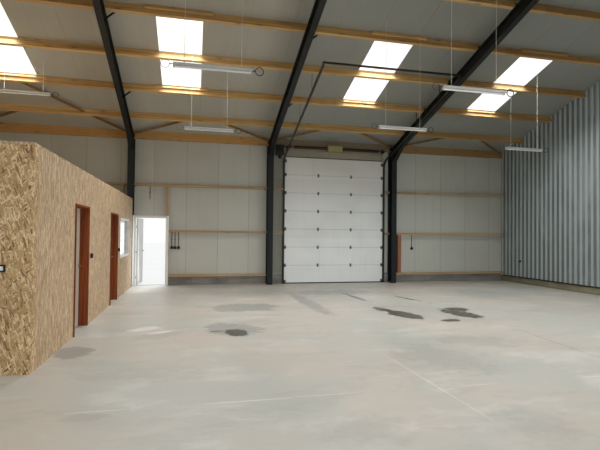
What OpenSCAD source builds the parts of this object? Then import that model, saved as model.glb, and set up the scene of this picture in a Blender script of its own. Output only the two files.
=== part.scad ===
// Portal-frame factory hall with a board office in one bay, in millimetres.
// The origin is at the middle of the floor slab's underside. The front wall with the doors faces -Y.

/* [Hall] */
// Spacing of the three inner frames
bay = 4350; // [3600:10:5400]
// Distance from an outer inner frame to the gable frame
end_bay = 4610; // [4000:10:6000]
// Clear width between the inner faces of the two long walls
span = 16100; // [13000:50:20000]
// Height from the floor to the roof's underside at the long walls
eaves_h = 4820; // [4600:10:6000]
// Pitch of the roof in degrees
pitch = 17; // [10:0.5:25]
// Thickness of the floor slab
slab_t = 150; // [100:10:300]
// Thickness of the wall panels
wall_t = 100; // [60:5:160]
// Height of the concrete upstand under the long walls
plinth_h = 270; // [150:10:400]
// Height of the concrete upstand under the gables
gable_plinth_h = 200; // [120:10:400]
// Width of the concrete upstands
plinth_t = 90; // [60:5:100]

/* [Steel frames] */
// Depth of the columns
col_d = 360; // [260:10:450]
// Width of the columns' flanges
flange_w = 175; // [120:5:220]
// Thickness of the flanges
flange_t = 13; // [8:1:20]
// Thickness of the webs
web_t = 9; // [6:1:14]
// Depth of the rafters
rafter_d = 290; // [240:10:420]
// Width of the rafters' flanges
rafter_w = 136; // [100:2:220]
// Length of the haunch under each rafter
haunch_l = 600; // [300:10:1500]
// Depth of the haunch at the column
haunch_d = 240; // [100:10:400]
// Thickness of the end plates and base plates
plate_t = 20; // [12:1:30]

/* [Roof] */
// Thickness of the timber purlins
purlin_t = 75; // [50:5:100]
// Depth of the timber purlins
purlin_d = 186; // [150:2:240]
// Distance of the first purlin from the wall, along the floor
purlin_first = 1095; // [800:5:1400]
// Spacing of the purlins, along the floor
purlin_step = 1355; // [1000:5:1500]
// Thickness of the roof panels without their ribs
roof_t = 100; // [60:5:160]
// Height of the ribs on the roof panels
rib_h = 36; // [20:1:50]
// Ribs on each roof panel
panel_ribs = 3; // [2:1:5]
// Overhang of the roof beyond the long walls
overhang = 120; // [60:10:300]
// Width of a roof panel, and so of a rooflight
roof_panel_w = 1008; // [900:2:1200]
// Width of the first, cut roof panel
roof_first_w = 367; // [100:1:900]

/* [Wall rails] */
// Height of a timber rail
rail_h = 70; // [50:5:100]
// Depth of a timber rail
rail_d = 150; // [100:5:200]
// Width of a wall panel
wall_panel_w = 1000; // [600:10:1200]
// Height of the middle rail above the floor
rail_mid = 1675; // [1200:5:2000]
// Height of the upper rail above the floor
rail_top = 3125; // [2600:5:3600]
// Depth of the timber eaves beam below the roof
eaves_beam_d = 230; // [150:5:300]

/* [Corrugated lining] */
// Depth of the corrugation
wave_d = 35; // [18:1:50]
// Spacing of the corrugation
wave_step = 200; // [120:5:300]
// Thickness of the corrugated sheet
sheet_t = 3; // [1:0.5:6]

/* [Sectional door] */
// Room between the middle column and the door leaf
gate_room_right = 427.5; // [400:2.5:700]
// Room between the other column and the door leaf
gate_room_left = 217.5; // [200:2.5:500]
// Number of sections
gate_sections = 7; // [5:1:7]
// Height left between the door leaf and the roof at the wall
gate_headroom = 550; // [500:5:900]
// Thickness of a section
section_t = 40; // [30:1:60]
// Reach of the sloping tracks into the hall
track_reach = 4860; // [4750:10:5000]

/* [Entrance door] */
// Width over the frame
entry_w = 1010; // [850:10:1100]
// Height over the frame
entry_h = 2170; // [2000:10:2400]
// Face width of the frame
entry_frame = 50; // [40:5:80]
// Thickness of the leaf
entry_leaf_t = 45; // [35:1:60]
// Angle by which the leaf stands open
entry_open = 86; // [0:1:90]

/* [Office] */
// Height of the office
office_h = 2690; // [2500:10:2900]
// Length of the office from the front wall
office_l = 9353; // [8600:1:12000]
// Thickness of the office walls
office_t = 145; // [100:5:200]
// Thickness of the office roof board
office_roof_t = 22; // [12:1:40]
// Distance from the front wall to the middle of the office's near doorway
office_door_near_s = 6897; // [6500:1:7300]
// Distance from the front wall to the middle of the office's far doorway
office_door_far_s = 3640; // [3500:1:4500]
// Distance from the front wall to the middle of the office window
window_s = 1870; // [1500:10:1900]
// Width of an office doorway
office_door_w = 980; // [800:10:1100]
// Height of an office doorway
office_door_h = 2100; // [1950:10:2300]
// Thickness of the door linings
lining_t = 30; // [20:1:40]
// Depth of the door linings, from the wall's outer face
lining_d = 175; // [150:5:220]
// Thickness of the office door leaves
office_leaf_t = 40; // [30:1:50]
// Width of the office window
window_w = 1650; // [900:10:1800]
// Height of the office window
window_h = 1040; // [600:10:1200]
// Height of the window's sill above the floor
window_sill = 990; // [800:10:1200]

/* [Hidden] */
$fn = 32;

// Colours
concrete_colour = [0.66, 0.66, 0.64];
steel_colour = [0.13, 0.15, 0.18];
timber_colour = [0.72, 0.50, 0.24];
panel_colour = [0.78, 0.77, 0.74];
cladding_colour = [0.52, 0.54, 0.54];
board_colour = [0.72, 0.58, 0.42];
white_colour = [0.92, 0.92, 0.91];
lining_colour = [0.40, 0.16, 0.07];
galvanised_colour = [0.55, 0.56, 0.57];

// Levels and lines of the hall
half_span = span / 2;
frame_xs = [-bay - end_bay, -bay, 0, bay, bay + end_bay];
inner_xs = [-bay, 0, bay];
gable_x = bay + end_bay + flange_w / 2;
lining_x = bay + end_bay - flange_w / 2 - wave_d;
hall_x = gable_x + wall_t;
hall_y = half_span + wall_t;
floor_z = slab_t;
eaves_z = floor_z + eaves_h;
slope_l = half_span / cos(pitch);
fit = 5;
seat = 0.1;
lock_gap = 8;

// Purlins, as distances of their middles from the wall along the floor
purlin_n = floor((half_span - purlin_first - 150) / purlin_step);
purlin_lines = [for (i = [0 : purlin_n]) purlin_first + i * purlin_step];

// Rooflights lie between the second and the fourth purlin, one in each bay
light_from = purlin_lines[1];
light_to = purlin_lines[3];
light_panels = [2, 6, 11, 15];
light_w = roof_panel_w - 8;
rib_step = roof_panel_w / panel_ribs;
roof_start = -hall_x + roof_first_w;
light_xs = [for (i = light_panels) roof_start + (i + 0.5) * roof_panel_w];

// Rails and the cleats that carry them
rail_low = plinth_h;
rail_zs = [rail_low, rail_mid, rail_top];
cleat_zs = [rail_mid, rail_top];
cleat_t = 8;
cleat_l = 80;
cleat_inset = 20;
eaves_beam_t = 75;
eaves_beam_y = flange_t + 5;
cap_from = eaves_beam_y + eaves_beam_t;
door_post = 75;
upper_stud_off = 187;
lower_stud_off = 212;
lower_stud_w = 130;

// Joints between the wall panels, counted from the entrance door's side
joint_w = 8;
joint_d = 4;
wall_joints = [for (i = [-6 : 12]) bay - 674 - i * wall_panel_w];
gable_joints = [for (i = [-7 : 7]) i * wall_panel_w];

// Sectional door
gate_w = bay - flange_w - gate_room_left - gate_room_right;
gate_x = bay - flange_w / 2 - gate_room_left - gate_w / 2;
gate_h = eaves_h - gate_headroom;
section_h = gate_h / gate_sections;
gate_lap = 40;
plinth_lip = 30;
gate_gap = 5;
track_w = 50;
track_d = 50;
track_wall = 3;
track_r = 350;
track_drop = 600;
track_clear = 60;
roller_r = 20;
head_h = 215;
head_t = 40;
shaft_z = gate_h + 290;
shaft_y = 270;
drum_r = 50;
shaft_r = 16;
gate_side = gate_w / 2 - gate_lap;
gate_clear = gate_w / 2 + track_w + fit;
bracket_t = 10;
coupling_l = 500;
coupling_off = 85;
coupling_s = 75;
coupling_z = 95;
drive_gap = 90;
drive_w = 240;

// Hinges and handles, the same on every door leaf
knuckle_r = 8;
knuckle_l = 45;
hinge_out = knuckle_r + fit;
strap_t = 4;
strap_l = 30;
handle_z = 1050;

// Entrance door
entry_hinges = [200, 1000, 1800];
entry_x = bay - flange_w / 2 - 7.5 - entry_w / 2;
entry_hinge_x = entry_x + entry_w / 2 - entry_frame - fit / 2;
entry_leaf_w = entry_w - 2 * entry_frame - fit - lock_gap;
entry_leaf_h = entry_h - entry_frame - 3 * fit;
entry_post_x = entry_x - entry_w / 2 - 3;

// Office
office_x = bay - flange_w / 2 + 9.5;
office_y = -half_span + office_l;
office_start = -half_span + col_d;
office_top = office_h - office_roof_t;
office_door_ys = [office_door_near_s - half_span, office_door_far_s - half_span];
office_hinges = [250, 1750];
office_leaf_w = office_door_w - 2 * lining_t - fit - lock_gap;
office_leaf_h = office_door_h - lining_t - 3 * fit;
window_y = window_s - half_span;
window_frame = 60;
glass_t = 24;
lining_proud = 20;
stop_w = 35;
stop_t = 12;

// Hanging lights: bay, offset from the bay's middle, distance from the front wall, height above the floor
light_places = [
    [0, 292, 4330, 4080], [1, 45, 5650, 4100], [2, -58, 4080, 4160], [3, -215, 3100, 4990],
    [0, 292, 8430, 4100], [1, 127, 8490, 4100], [2, 28, 8320, 4140], [3, -215, 8430, 4100],
    [0, 292, 11770, 4080], [1, 45, 11770, 4100], [2, -58, 11770, 4100], [3, -215, 11770, 4100]
];
lights = [for (p = light_places) [(frame_xs[p[0]] + frame_xs[p[0] + 1]) / 2 + p[1], p[2], p[3]]];
lamp_l = 1160;
lamp_w = 90;
lamp_h = 55;
tube_r = 13;
wire_r = 4;
wire_x = 418;

// Height of the roof's underside at a distance s from the long wall
function roof_z(s) = eaves_z + s * tan(pitch);
// The same, less a depth measured square to the roof
function under(s, depth) = roof_z(s) - depth / cos(pitch);

// A section drawn in Y and Z, drawn out along X from x0 to x1
module along_x(x0, x1) {
    translate([x0, 0, 0]) rotate([90, 0, 90]) linear_extrude(height = x1 - x0) children();
}

// Places children in the front slope: X along the hall, Y up the slope, Z square to the roof
module on_slope() {
    translate([0, -half_span, eaves_z]) rotate([pitch, 0, 0]) children();
}

// The children and their mirror image about the ridge
module both_sides() {
    children();
    mirror([0, 1, 0]) children();
}

// A box between two corners
module block(low, high) {
    translate(low) cube(high - low);
}

module floor_slab() color(concrete_colour)
    block([-hall_x, -hall_y, 0], [hall_x, hall_y, floor_z]);

// Upstand under a long wall from x0 to x1
module upstand(x0, x1) {
    block([x0, -half_span - plinth_t, floor_z], [x1, -half_span, floor_z + plinth_h]);
}

// The upstand's inner lip from x0 to x1, between the columns
module upstand_lip(x0, x1) {
    block([x0, -half_span - 1, floor_z], [x1, -half_span + plinth_lip, floor_z + plinth_h]);
}

// The lip beside the sectional door, raised by the height of a rail
module gate_foot(x0, x1) {
    upstand_lip(x0, x1);
    block([x0, -half_span, floor_z], [x1, -half_span + plinth_lip, floor_z + plinth_h + rail_h]);
}

module front_plinth() {
    upstand(-gable_x, -gate_x - gate_side);
    upstand(-gate_x + gate_side, entry_x - entry_w / 2);
    upstand(entry_x + entry_w / 2, gable_x);
    upstand_lip(bay_from(0), bay_to(0));
    gate_foot(-bay + flange_w / 2, -gate_x - gate_clear);
    gate_foot(-gate_x + gate_clear, -flange_w / 2);
    upstand_lip(bay_from(2), entry_post_x - door_post / 2);
    upstand_lip(bay_from(3), bay_to(3));
}

module rear_plinth() {
    upstand(-gable_x, gable_x);
    for (i = [0 : 3]) upstand_lip(bay_from(i), bay_to(i));
}

module plinths() color(concrete_colour) {
    front_plinth();
    mirror([0, 1, 0]) rear_plinth();
}

// Upstand under one gable, with pockets for the corner columns
module gable_upstand() {
    block([gable_x, -half_span - plinth_t, floor_z],
        [gable_x + plinth_t, half_span + plinth_t, floor_z + gable_plinth_h]);
    difference() {
        block([lining_x, -half_span, floor_z], [gable_x, half_span, floor_z + gable_plinth_h]);
        both_sides() block(
            [lining_x + wave_d, -half_span - 1, floor_z - 1],
            [gable_x + 1, -half_span + col_d + fit, floor_z + gable_plinth_h + 1]);
    }
}

module plinth_gables() color(concrete_colour) {
    gable_upstand();
    mirror([1, 0, 0]) gable_upstand();
}

// Section of a column, its outer flange on the wall
module column_section() {
    translate([-flange_w / 2, 0]) square([flange_w, flange_t]);
    translate([-flange_w / 2, col_d - flange_t]) square([flange_w, flange_t]);
    translate([-web_t / 2, 0]) square([web_t, col_d]);
}

// Cleats on one side of a column, at the bottom of the rails at some heights
module cleats(side, heights) {
    reach = flange_w / 2 + cleat_l;
    for (z = heights)
        translate([side > 0 ? 0 : -reach, -half_span + cleat_inset, floor_z + z - cleat_t])
            cube([reach, rail_d - 2 * cleat_inset, cleat_t]);
}

// Height of the underside of the haunch at the column
function haunch_z() = under(col_d, purlin_d + rafter_d) - haunch_d;

// One front column with its cap plate and base plate, cut off under the purlins
module column(x) {
    translate([x, 0, 0]) difference() {
        union() {
            translate([0, -half_span, floor_z]) linear_extrude(height = eaves_h) column_section();
            along_x(-flange_w / 2, flange_w / 2) slope_strip(cap_from, col_d, purlin_d - 5, flange_t + 5);
            block([-flange_w / 2, -half_span, floor_z], [flange_w / 2, -half_span + col_d, floor_z + plate_t]);
            block([-flange_w / 2, -half_span, haunch_z()],
                [flange_w / 2, -half_span + col_d, haunch_z() + flange_t]);
        }
        along_x(-flange_w, flange_w) polygon([
            [-half_span - 10, under(-10, purlin_d)],
            [-half_span + col_d + 10, under(col_d + 10, purlin_d)],
            [-half_span + col_d + 10, roof_z(col_d) + 100],
            [-half_span - 10, roof_z(col_d) + 100]
        ]);
    }
}

// A strip that follows the front slope from s0 to s1, its top at a depth below the roof
module slope_strip(s0, s1, depth, thick) {
    polygon([
        [-half_span + s0, under(s0, depth + thick)],
        [-half_span + s1, under(s1, depth + thick)],
        [-half_span + s1, under(s1, depth)],
        [-half_span + s0, under(s0, depth)]
    ]);
}

module front_columns() {
    for (x = frame_xs) column(x);
    for (x = inner_xs) translate([x, 0, 0]) {
        cleats(1, cleat_zs);
        cleats(-1, x == bay ? [rail_top] : cleat_zs);
    }
}

module rear_columns() {
    for (x = frame_xs) column(x);
    for (x = inner_xs) translate([x, 0, 0]) {
        cleats(1, cleat_zs);
        cleats(-1, cleat_zs);
    }
}

module columns() color(steel_colour) {
    front_columns();
    mirror([0, 1, 0]) rear_columns();
}

// One front rafter with its haunch, from the column's inner face to the ridge
module rafter(x) {
    s0 = col_d;
    s1 = col_d + haunch_l;
    low = purlin_d + rafter_d;
    along_x(x - web_t / 2, x + web_t / 2) {
        slope_strip(s0, half_span, purlin_d, rafter_d);
        polygon([
            [-half_span + s0, haunch_z()],
            [-half_span + s1, under(s1, low)],
            [-half_span + s0, under(s0, low - flange_t)]
        ]);
    }
    along_x(x - rafter_w / 2, x + rafter_w / 2) {
        slope_strip(s0, half_span, purlin_d, flange_t);
        slope_strip(s0, half_span, low - flange_t, flange_t);
        polygon([
            [-half_span + s0, haunch_z()],
            [-half_span + s1, under(s1, low)],
            [-half_span + s1, under(s1, low - flange_t)],
            [-half_span + s0, haunch_z() + flange_t]
        ]);
        polygon([
            [-half_span + s0, haunch_z()],
            [-half_span + s0 + plate_t, haunch_z()],
            [-half_span + s0 + plate_t, under(s0, purlin_d)],
            [-half_span + s0, under(s0, purlin_d)]
        ]);
        polygon([
            [-plate_t, under(half_span - plate_t, low)],
            [0, under(half_span, low)],
            [0, under(half_span, purlin_d)],
            [-plate_t, under(half_span - plate_t, purlin_d)]
        ]);
    }
}

module rafters_front() color(steel_colour) for (x = frame_xs) rafter(x);

module rafters_rear() color(steel_colour) mirror([0, 1, 0]) rafters_front();

// A short steel tie from a rafter's web up to the underside of a purlin, on the -X side
module rafter_tie(x, s) {
    reach = 200;
    drop = 230;
    tie_h = 60;
    tie_seat = 1;
    translate([x, -half_span + s, roof_z(s)]) rotate([90, 0, 0]) translate([0, 0, -3])
        linear_extrude(height = 6) polygon([
            [-web_t / 2, -purlin_d / cos(pitch) - drop], [-web_t / 2, -purlin_d / cos(pitch) - drop + tie_h],
            [-reach, -purlin_d / cos(pitch) - tie_seat], [-reach - tie_h, -purlin_d / cos(pitch) - tie_seat]
        ]);
}

module rafter_ties() color(steel_colour) both_sides()
    for (x = inner_xs, i = [1, 3]) rafter_tie(x, purlin_lines[i]);

// A purlin whose middle is s from the wall
module purlin(s) {
    on_slope() translate([-gable_x + seat, s / cos(pitch) - purlin_t / 2, -purlin_d])
        cube([2 * (gable_x - seat), purlin_t, purlin_d]);
}

module purlins() color(timber_colour) both_sides() for (s = purlin_lines) purlin(s);

brace_w = 60;
brace_t = 45;
brace_low = 70;
brace_start = 75;
brace_reach = 1720;
brace_steep = 1125;
brace_long = 2500;

// Where a brace starts and ends below purlin i, measured up the slope
function brace_from(i) = i == 0
    ? (cap_from - brace_low * sin(pitch)) / cos(pitch) + seat
    : purlin_lines[i - 1] / cos(pitch) + purlin_t / 2;
function brace_to(i) = purlin_lines[i] / cos(pitch) - purlin_t / 2;

// A timber between the purlins, from dx0 beside the frame at x to dx1 at purlin i
module brace(x, side, i, dx0, dx1) {
    y0 = brace_from(i);
    y1 = brace_to(i);
    half = brace_w / 2 * norm([dx1 - dx0, y1 - y0]) / (y1 - y0);
    translate([x, 0, 0]) on_slope() translate([0, 0, -brace_low - brace_t]) linear_extrude(height = brace_t)
        polygon([
            [side * (dx0 - half), y0], [side * (dx0 + half), y0],
            [side * (dx1 + half), y1], [side * (dx1 - half), y1]
        ]);
}

module front_braces() {
    for (x = inner_xs, side = [-1, 1]) if (x < bay || side < 0) brace(x, side, 0, brace_start, brace_reach);
    for (side = [-1, 1]) brace(side * lining_x, -side, 0, 2 * brace_start, brace_reach);
    brace(bay, 1, 0, brace_start, brace_steep);
    brace(bay, 1, 1, brace_steep + purlin_t, brace_long);
}

module roof_braces() color(timber_colour) {
    front_braces();
    mirror([0, 1, 0]) front_braces();
}

// A rail from x0 to x1 with its underside z above the floor
module rail(x0, x1, z) {
    block([x0, -half_span, floor_z + z], [x1, -half_span + rail_d, floor_z + z + rail_h]);
}

// An eaves beam from x0 to x1, its top under the roof
module eaves_beam(x0, x1) {
    along_x(x0, x1) polygon([
        [-half_span + eaves_beam_y, eaves_z - eaves_beam_d],
        [-half_span + cap_from, eaves_z - eaves_beam_d],
        [-half_span + cap_from, roof_z(cap_from)],
        [-half_span + eaves_beam_y, roof_z(eaves_beam_y)]
    ]);
}

// An upright timber from z0 to z1 above the floor
module post(x, width, z0, z1) {
    block([x - width / 2, -half_span, floor_z + z0], [x + width / 2, -half_span + rail_d, floor_z + z1]);
}

module eaves_beams() {
    for (i = [0 : 3])
        eaves_beam(
            i == 0 ? -lining_x : frame_xs[i] + web_t / 2,
            i == 3 ? lining_x : frame_xs[i + 1] - web_t / 2);
}

// Ends of the rails in a bay, from frame to frame or to the gable's lining
function bay_from(i) = i == 0 ? -lining_x : frame_xs[i] + flange_w / 2;
function bay_to(i) = i == 3 ? lining_x : frame_xs[i + 1] - flange_w / 2;

module front_rails() {
    for (z = rail_zs) {
        rail(bay_from(0), bay_to(0), z);
        rail(bay_from(3), bay_to(3), z);
    }
    rail(bay_from(2), entry_post_x - door_post / 2, rail_low);
    rail(bay_from(2), entry_post_x - door_post / 2, rail_mid);
    rail(bay_from(2), bay_to(2), rail_top);
    for (z = cleat_zs) {
        rail(-bay + flange_w / 2, -gate_x - gate_clear, z);
        rail(-gate_x + gate_clear, -flange_w / 2, z);
    }
    eaves_beams();
}

module rear_rails() {
    for (i = [0 : 3], z = rail_zs) rail(bay_from(i), bay_to(i), z);
    eaves_beams();
}

module wall_rails() color(timber_colour) {
    front_rails();
    mirror([0, 1, 0]) rear_rails();
}

module wall_posts() color(timber_colour) {
    post(entry_post_x, door_post, 0, rail_top);
    post(bay + flange_w / 2 + upper_stud_off, rail_h, office_h, rail_top);
    post(-bay - flange_w / 2 - lower_stud_off, lower_stud_w, rail_low + rail_h, rail_mid);
}

// A stretch of the front wall from x0 to x1, from z0 up to the roof, with the joints of its panels
module wall(x0, x1, z0) {
    difference() {
        along_x(x0, x1) polygon([
            [-half_span - wall_t, z0], [-half_span, z0],
            [-half_span, roof_z(0) - seat], [-half_span - wall_t, roof_z(-wall_t) - seat]
        ]);
        for (x = wall_joints) if (x > x0 + joint_w && x < x1 - joint_w)
            for (y = [-half_span - wall_t, -half_span])
                block([x - joint_w / 2, y - joint_d, z0 - 1], [x + joint_w / 2, y + joint_d, eaves_z + 100]);
    }
}

// The stretches of the front wall beside its two doorways
module wall_front() color(panel_colour) {
    wall(-gable_x, -gate_x - gate_side, floor_z + plinth_h);
    wall(-gate_x + gate_side, entry_x - entry_w / 2, floor_z + plinth_h);
    wall(entry_x + entry_w / 2, gable_x, floor_z + plinth_h);
}

// The stretches of the front wall over its two doorways
module wall_heads() color(panel_colour) {
    wall(-gate_x - gate_side, -gate_x + gate_side, floor_z + gate_h - gate_lap);
    wall(entry_x - entry_w / 2, entry_x + entry_w / 2, floor_z + entry_h);
}

module wall_rear() color(panel_colour)
    mirror([0, 1, 0]) wall(-gable_x, gable_x, floor_z + plinth_h);

// The gable's outline up to the roof's underside, out to y_edge, from height z0
module gable_outline(y_edge, z0) {
    polygon([
        [-y_edge, z0], [y_edge, z0], [y_edge, roof_z(half_span - y_edge) - seat],
        [0, roof_z(half_span) - seat], [-y_edge, roof_z(half_span - y_edge) - seat]
    ]);
}

module right_gable() difference() {
    along_x(gable_x, gable_x + wall_t) gable_outline(hall_y, floor_z + gable_plinth_h);
    for (y = gable_joints) block(
        [gable_x + wall_t - joint_d, y - joint_w / 2, floor_z],
        [gable_x + wall_t + joint_d, y + joint_w / 2, roof_z(half_span)]);
}

module gable_walls() color(cladding_colour) {
    right_gable();
    mirror([1, 0, 0]) right_gable();
}

// One edge of the corrugation as points along the wall
wave_flat = 0.3;
wave_slope = 0.15;
wave_n = ceil(half_span / wave_step);
wave_edge = [for (i = [-wave_n : wave_n], p = [
    [0, 0], [wave_flat, 0], [wave_flat + wave_slope, 1], [1 - wave_slope, 1]
]) [(i + p[0]) * wave_step, p[1] * (wave_d - sheet_t)]];

module corrugated_section() {
    n = len(wave_edge);
    polygon(concat(
        [for (p = wave_edge) [p[1], p[0]]],
        [for (i = [n - 1 : -1 : 0]) [wave_edge[i][1] + sheet_t, wave_edge[i][0]]]));
}

module right_lining() difference() {
    intersection() {
        translate([lining_x, 0, 0]) linear_extrude(height = roof_z(half_span)) corrugated_section();
        along_x(lining_x - 1, lining_x + wave_d + 1)
            gable_outline(half_span, floor_z + gable_plinth_h);
    }
    both_sides() for (s = purlin_lines)
        on_slope() translate([lining_x - 1, s / cos(pitch) - purlin_t / 2 - fit, -purlin_d - fit])
            cube([wave_d + 2, purlin_t + 2 * fit, purlin_d + 2 * fit]);
}

module gable_linings() color(cladding_colour) {
    right_lining();
    mirror([1, 0, 0]) right_lining();
}

rib_base = 70;
rib_top = 30;
roof_n = floor((hall_x - roof_start - joint_w) / roof_panel_w);
rib_n = floor((hall_x - roof_start - rib_base) / rib_step);

// Section of the roof panels across the slope: ribs on top, a narrow joint below between panels
module roof_section() {
    polygon(concat(
        [[-hall_x, 0]],
        [for (i = [0 : roof_n], p = [
            [-joint_w / 2, 0], [-joint_w / 2, 1], [joint_w / 2, 1], [joint_w / 2, 0]
        ]) [roof_start + i * roof_panel_w + p[0], p[1] * joint_d]],
        [[hall_x, 0], [hall_x, roof_t]],
        [for (i = [rib_n : -1 : 0], p = [
            [rib_base / 2, 0], [rib_top / 2, 1], [-rib_top / 2, 1], [-rib_base / 2, 0]
        ]) [roof_start + i * rib_step + p[0], roof_t + p[1] * rib_h]],
        [[-hall_x, roof_t]]));
}

// The whole front slope before the rooflights are cut
module roof_slope() {
    start = -(wall_t + overhang) / cos(pitch);
    end = slope_l + (roof_t + rib_h) * tan(pitch);
    difference() {
        on_slope() translate([0, end, 0]) rotate([90, 0, 0])
            linear_extrude(height = end - start) roof_section();
        block([-hall_x - 1, 0, eaves_z], [hall_x + 1, half_span, roof_z(half_span) + 1000]);
    }
}

// The space of each rooflight in the front slope
module light_spaces(shrink) {
    for (x = light_xs) on_slope()
        translate([x - light_w / 2 + shrink, light_from / cos(pitch) + shrink, -1])
            cube([light_w - 2 * shrink, (light_to - light_from) / cos(pitch) - 2 * shrink, roof_t + rib_h + 2]);
}

module roof_front() color(panel_colour) difference() {
    roof_slope();
    light_spaces(0);
}

module roof_rear() color(panel_colour) mirror([0, 1, 0]) roof_front();

module rooflights() color(white_colour) both_sides() intersection() {
    roof_slope();
    light_spaces(0);
}

batten_l = 1400;
batten_h = 75;
batten_t = 45;

// Battens on the upper sides of the purlins at both ends of each rooflight
module rooflight_battens() color(timber_colour) both_sides()
    for (x = light_xs, s = [light_from, light_to]) on_slope()
        translate([x - batten_l / 2, s / cos(pitch) + purlin_t / 2, -batten_h - seat])
            cube([batten_l, batten_t, batten_h]);

cap_w = 300;
cap_t = 4;
cap_h = roof_t + rib_h;

module ridge_cap() color(cladding_colour)
    along_x(-hall_x, hall_x) ridge_strip(cap_w, cap_h + cap_t, cap_t);

// An upturned V over the ridge, its top at a height above the roof's underside
module ridge_strip(width, height, thick) {
    polygon([
        [-width, under(half_span - width, thick - height)],
        [0, under(half_span, thick - height)],
        [width, under(half_span - width, thick - height)],
        [width, under(half_span - width, -height)],
        [0, under(half_span, -height)],
        [-width, under(half_span - width, -height)]
    ]);
}

verge_w = 160;
verge_d = 220;
verge_t = 4;

// Edge trim over a gable: a cap on the roof and a face down the wall
module verge_half() {
    on_slope() translate([0, -(wall_t + overhang) / cos(pitch), 0]) {
        length = slope_l + (wall_t + overhang) / cos(pitch) + (roof_t + rib_h + verge_t) * tan(pitch);
        translate([hall_x, 0, roof_t + rib_h - verge_d]) cube([verge_t, length, verge_d + verge_t]);
        translate([hall_x - verge_w, 0, roof_t + rib_h]) cube([verge_w, length, verge_t]);
    }
}

module verge_trims() color(cladding_colour) for (side = [0, 1]) mirror([side, 0, 0]) both_sides()
    difference() {
        verge_half();
        block([0, 0, 0], [hall_x + 100, hall_y + 1000, roof_z(half_span) + 1000]);
        along_x(0, hall_x) ridge_strip(cap_w, cap_h + cap_t, cap_t + 1);
    }

gutter_w = 130;
gutter_d = 110;
gutter_t = 3;
pipe_r = 45;
pipe_wall = 3;
pipe_x = hall_x - 400;
pipe_foot = 60;

gutter_in = 60;
gutter_y = -hall_y - overhang + gutter_in;
gutter_z = roof_z(-wall_t - overhang) - 10 - gutter_d;
pipe_clips = [pipe_foot + 1140, gutter_z - 1200];

// Gutter section whose back hangs from the roof's underside
module gutter_section() {
    y0 = gutter_y - gutter_w;
    s0 = gutter_y + half_span;
    polygon([
        [y0, gutter_z], [gutter_y, gutter_z],
        [gutter_y, roof_z(s0) - seat], [gutter_y - gutter_t, roof_z(s0 - gutter_t) - seat],
        [gutter_y - gutter_t, gutter_z + gutter_t], [y0 + gutter_t, gutter_z + gutter_t],
        [y0 + gutter_t, gutter_z + gutter_d], [y0, gutter_z + gutter_d]
    ]);
}

// Two pipes from a gutter down to the ground, each with brackets to the wall
module pipes() {
    for (side = [-1, 1]) {
        translate([side * pipe_x, gutter_y - gutter_w / 2, pipe_foot])
            cylinder(r = pipe_r, h = gutter_z - pipe_foot);
        for (z = pipe_clips) block(
            [side * pipe_x - 15, gutter_y - gutter_w / 2, z],
            [side * pipe_x + 15, -half_span - wall_t, z + 30]);
    }
}

module gutters() color(galvanised_colour) both_sides() along_x(-hall_x, hall_x) gutter_section();

module downpipes() color(galvanised_colour) both_sides() pipes();

// Sections of the sectional door, one above another
module gate_leaf() color(white_colour)
    for (i = [0 : gate_sections - 1])
        block(
            [-gate_x - gate_w / 2, -half_span, floor_z + i * section_h],
            [-gate_x + gate_w / 2, -half_span + section_t, floor_z + (i + 1) * section_h - gate_gap]);

// Line of a door track in Y and Z: up the wall, round the bend and along under the roof
function track_line(offset) = let (
    s0 = track_clear + offset,
    drop = track_drop + offset / cos(pitch),
    turn = 90 - pitch,
    r = track_r - offset,
    t = (track_r) * tan(turn / 2),
    corner_s = track_clear,
    corner_z = roof_z(corner_s) - track_drop,
    cs = corner_s + track_r,
    cz = corner_z - t
) concat(
    [[-half_span + s0, floor_z]],
    [for (a = [0 : 8]) let (b = 180 - a * turn / 8)
        [-half_span + cs + r * cos(b), cz + r * sin(b)]],
    [[-half_span + track_reach, roof_z(track_reach) - drop]]);

// Outline of a track between two offsets from its outer line
module track_outline(from, to) {
    a = track_line(from);
    b = track_line(to);
    polygon(concat(a, [for (i = [len(b) - 1 : -1 : 0]) b[i]]));
}

// A channel that is open towards the door, on its side of x
module track(x, side) {
    inner = x - side * track_w / 2;
    outer = x + side * track_w / 2;
    difference() {
        along_x(min(inner, outer), max(inner, outer)) track_outline(0, track_d);
        along_x(min(inner - side, outer - side * track_wall), max(inner - side, outer - side * track_wall))
            track_outline(track_wall, track_d - track_wall);
    }
}

// A strap from a purlin's underside down to the track
module track_hanger(x, s) {
    along_x(x - 3, x + 3) polygon([
        [-half_span + s - 20, roof_z(s - 20) - track_drop - 5],
        [-half_span + s + 20, roof_z(s + 20) - track_drop - 5],
        [-half_span + s + 20, under(s + 20, purlin_d)],
        [-half_span + s - 20, under(s - 20, purlin_d)]
    ]);
}

module gate_tracks() color(galvanised_colour) {
    reach = gate_w / 2 + track_w / 2;
    for (side = [-1, 1]) {
        x = -gate_x + side * reach;
        track(x, side);
        block([x + side * track_w / 2 - (side > 0 ? track_wall : 0), -half_span, floor_z],
            [x + side * track_w / 2 + (side > 0 ? 0 : track_wall), -half_span + track_clear + 10,
                floor_z + gate_h - gate_lap]);
        for (i = [1, 2]) track_hanger(x + side * (track_w / 2 - 3), purlin_lines[i]);
    }
    z = roof_z(track_reach) - track_drop;
    block([-gate_x - reach - track_w / 2, -half_span + track_reach - track_w, z - 12],
        [-gate_x + reach + track_w / 2, -half_span + track_reach, z + 28]);
}

hinge_w = 64;
hinge_h = 110;
hinge_t = 4;
edge_x = gate_w / 2 - hinge_w / 2 - 8;
roller_s = track_clear + track_d / 2;
top_bracket_z = floor_z + gate_h - 150;

// Height at which the tracks' bend starts
function bend_z() = roof_z(track_clear) - track_drop - track_r * tan(45 - pitch / 2);
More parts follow.
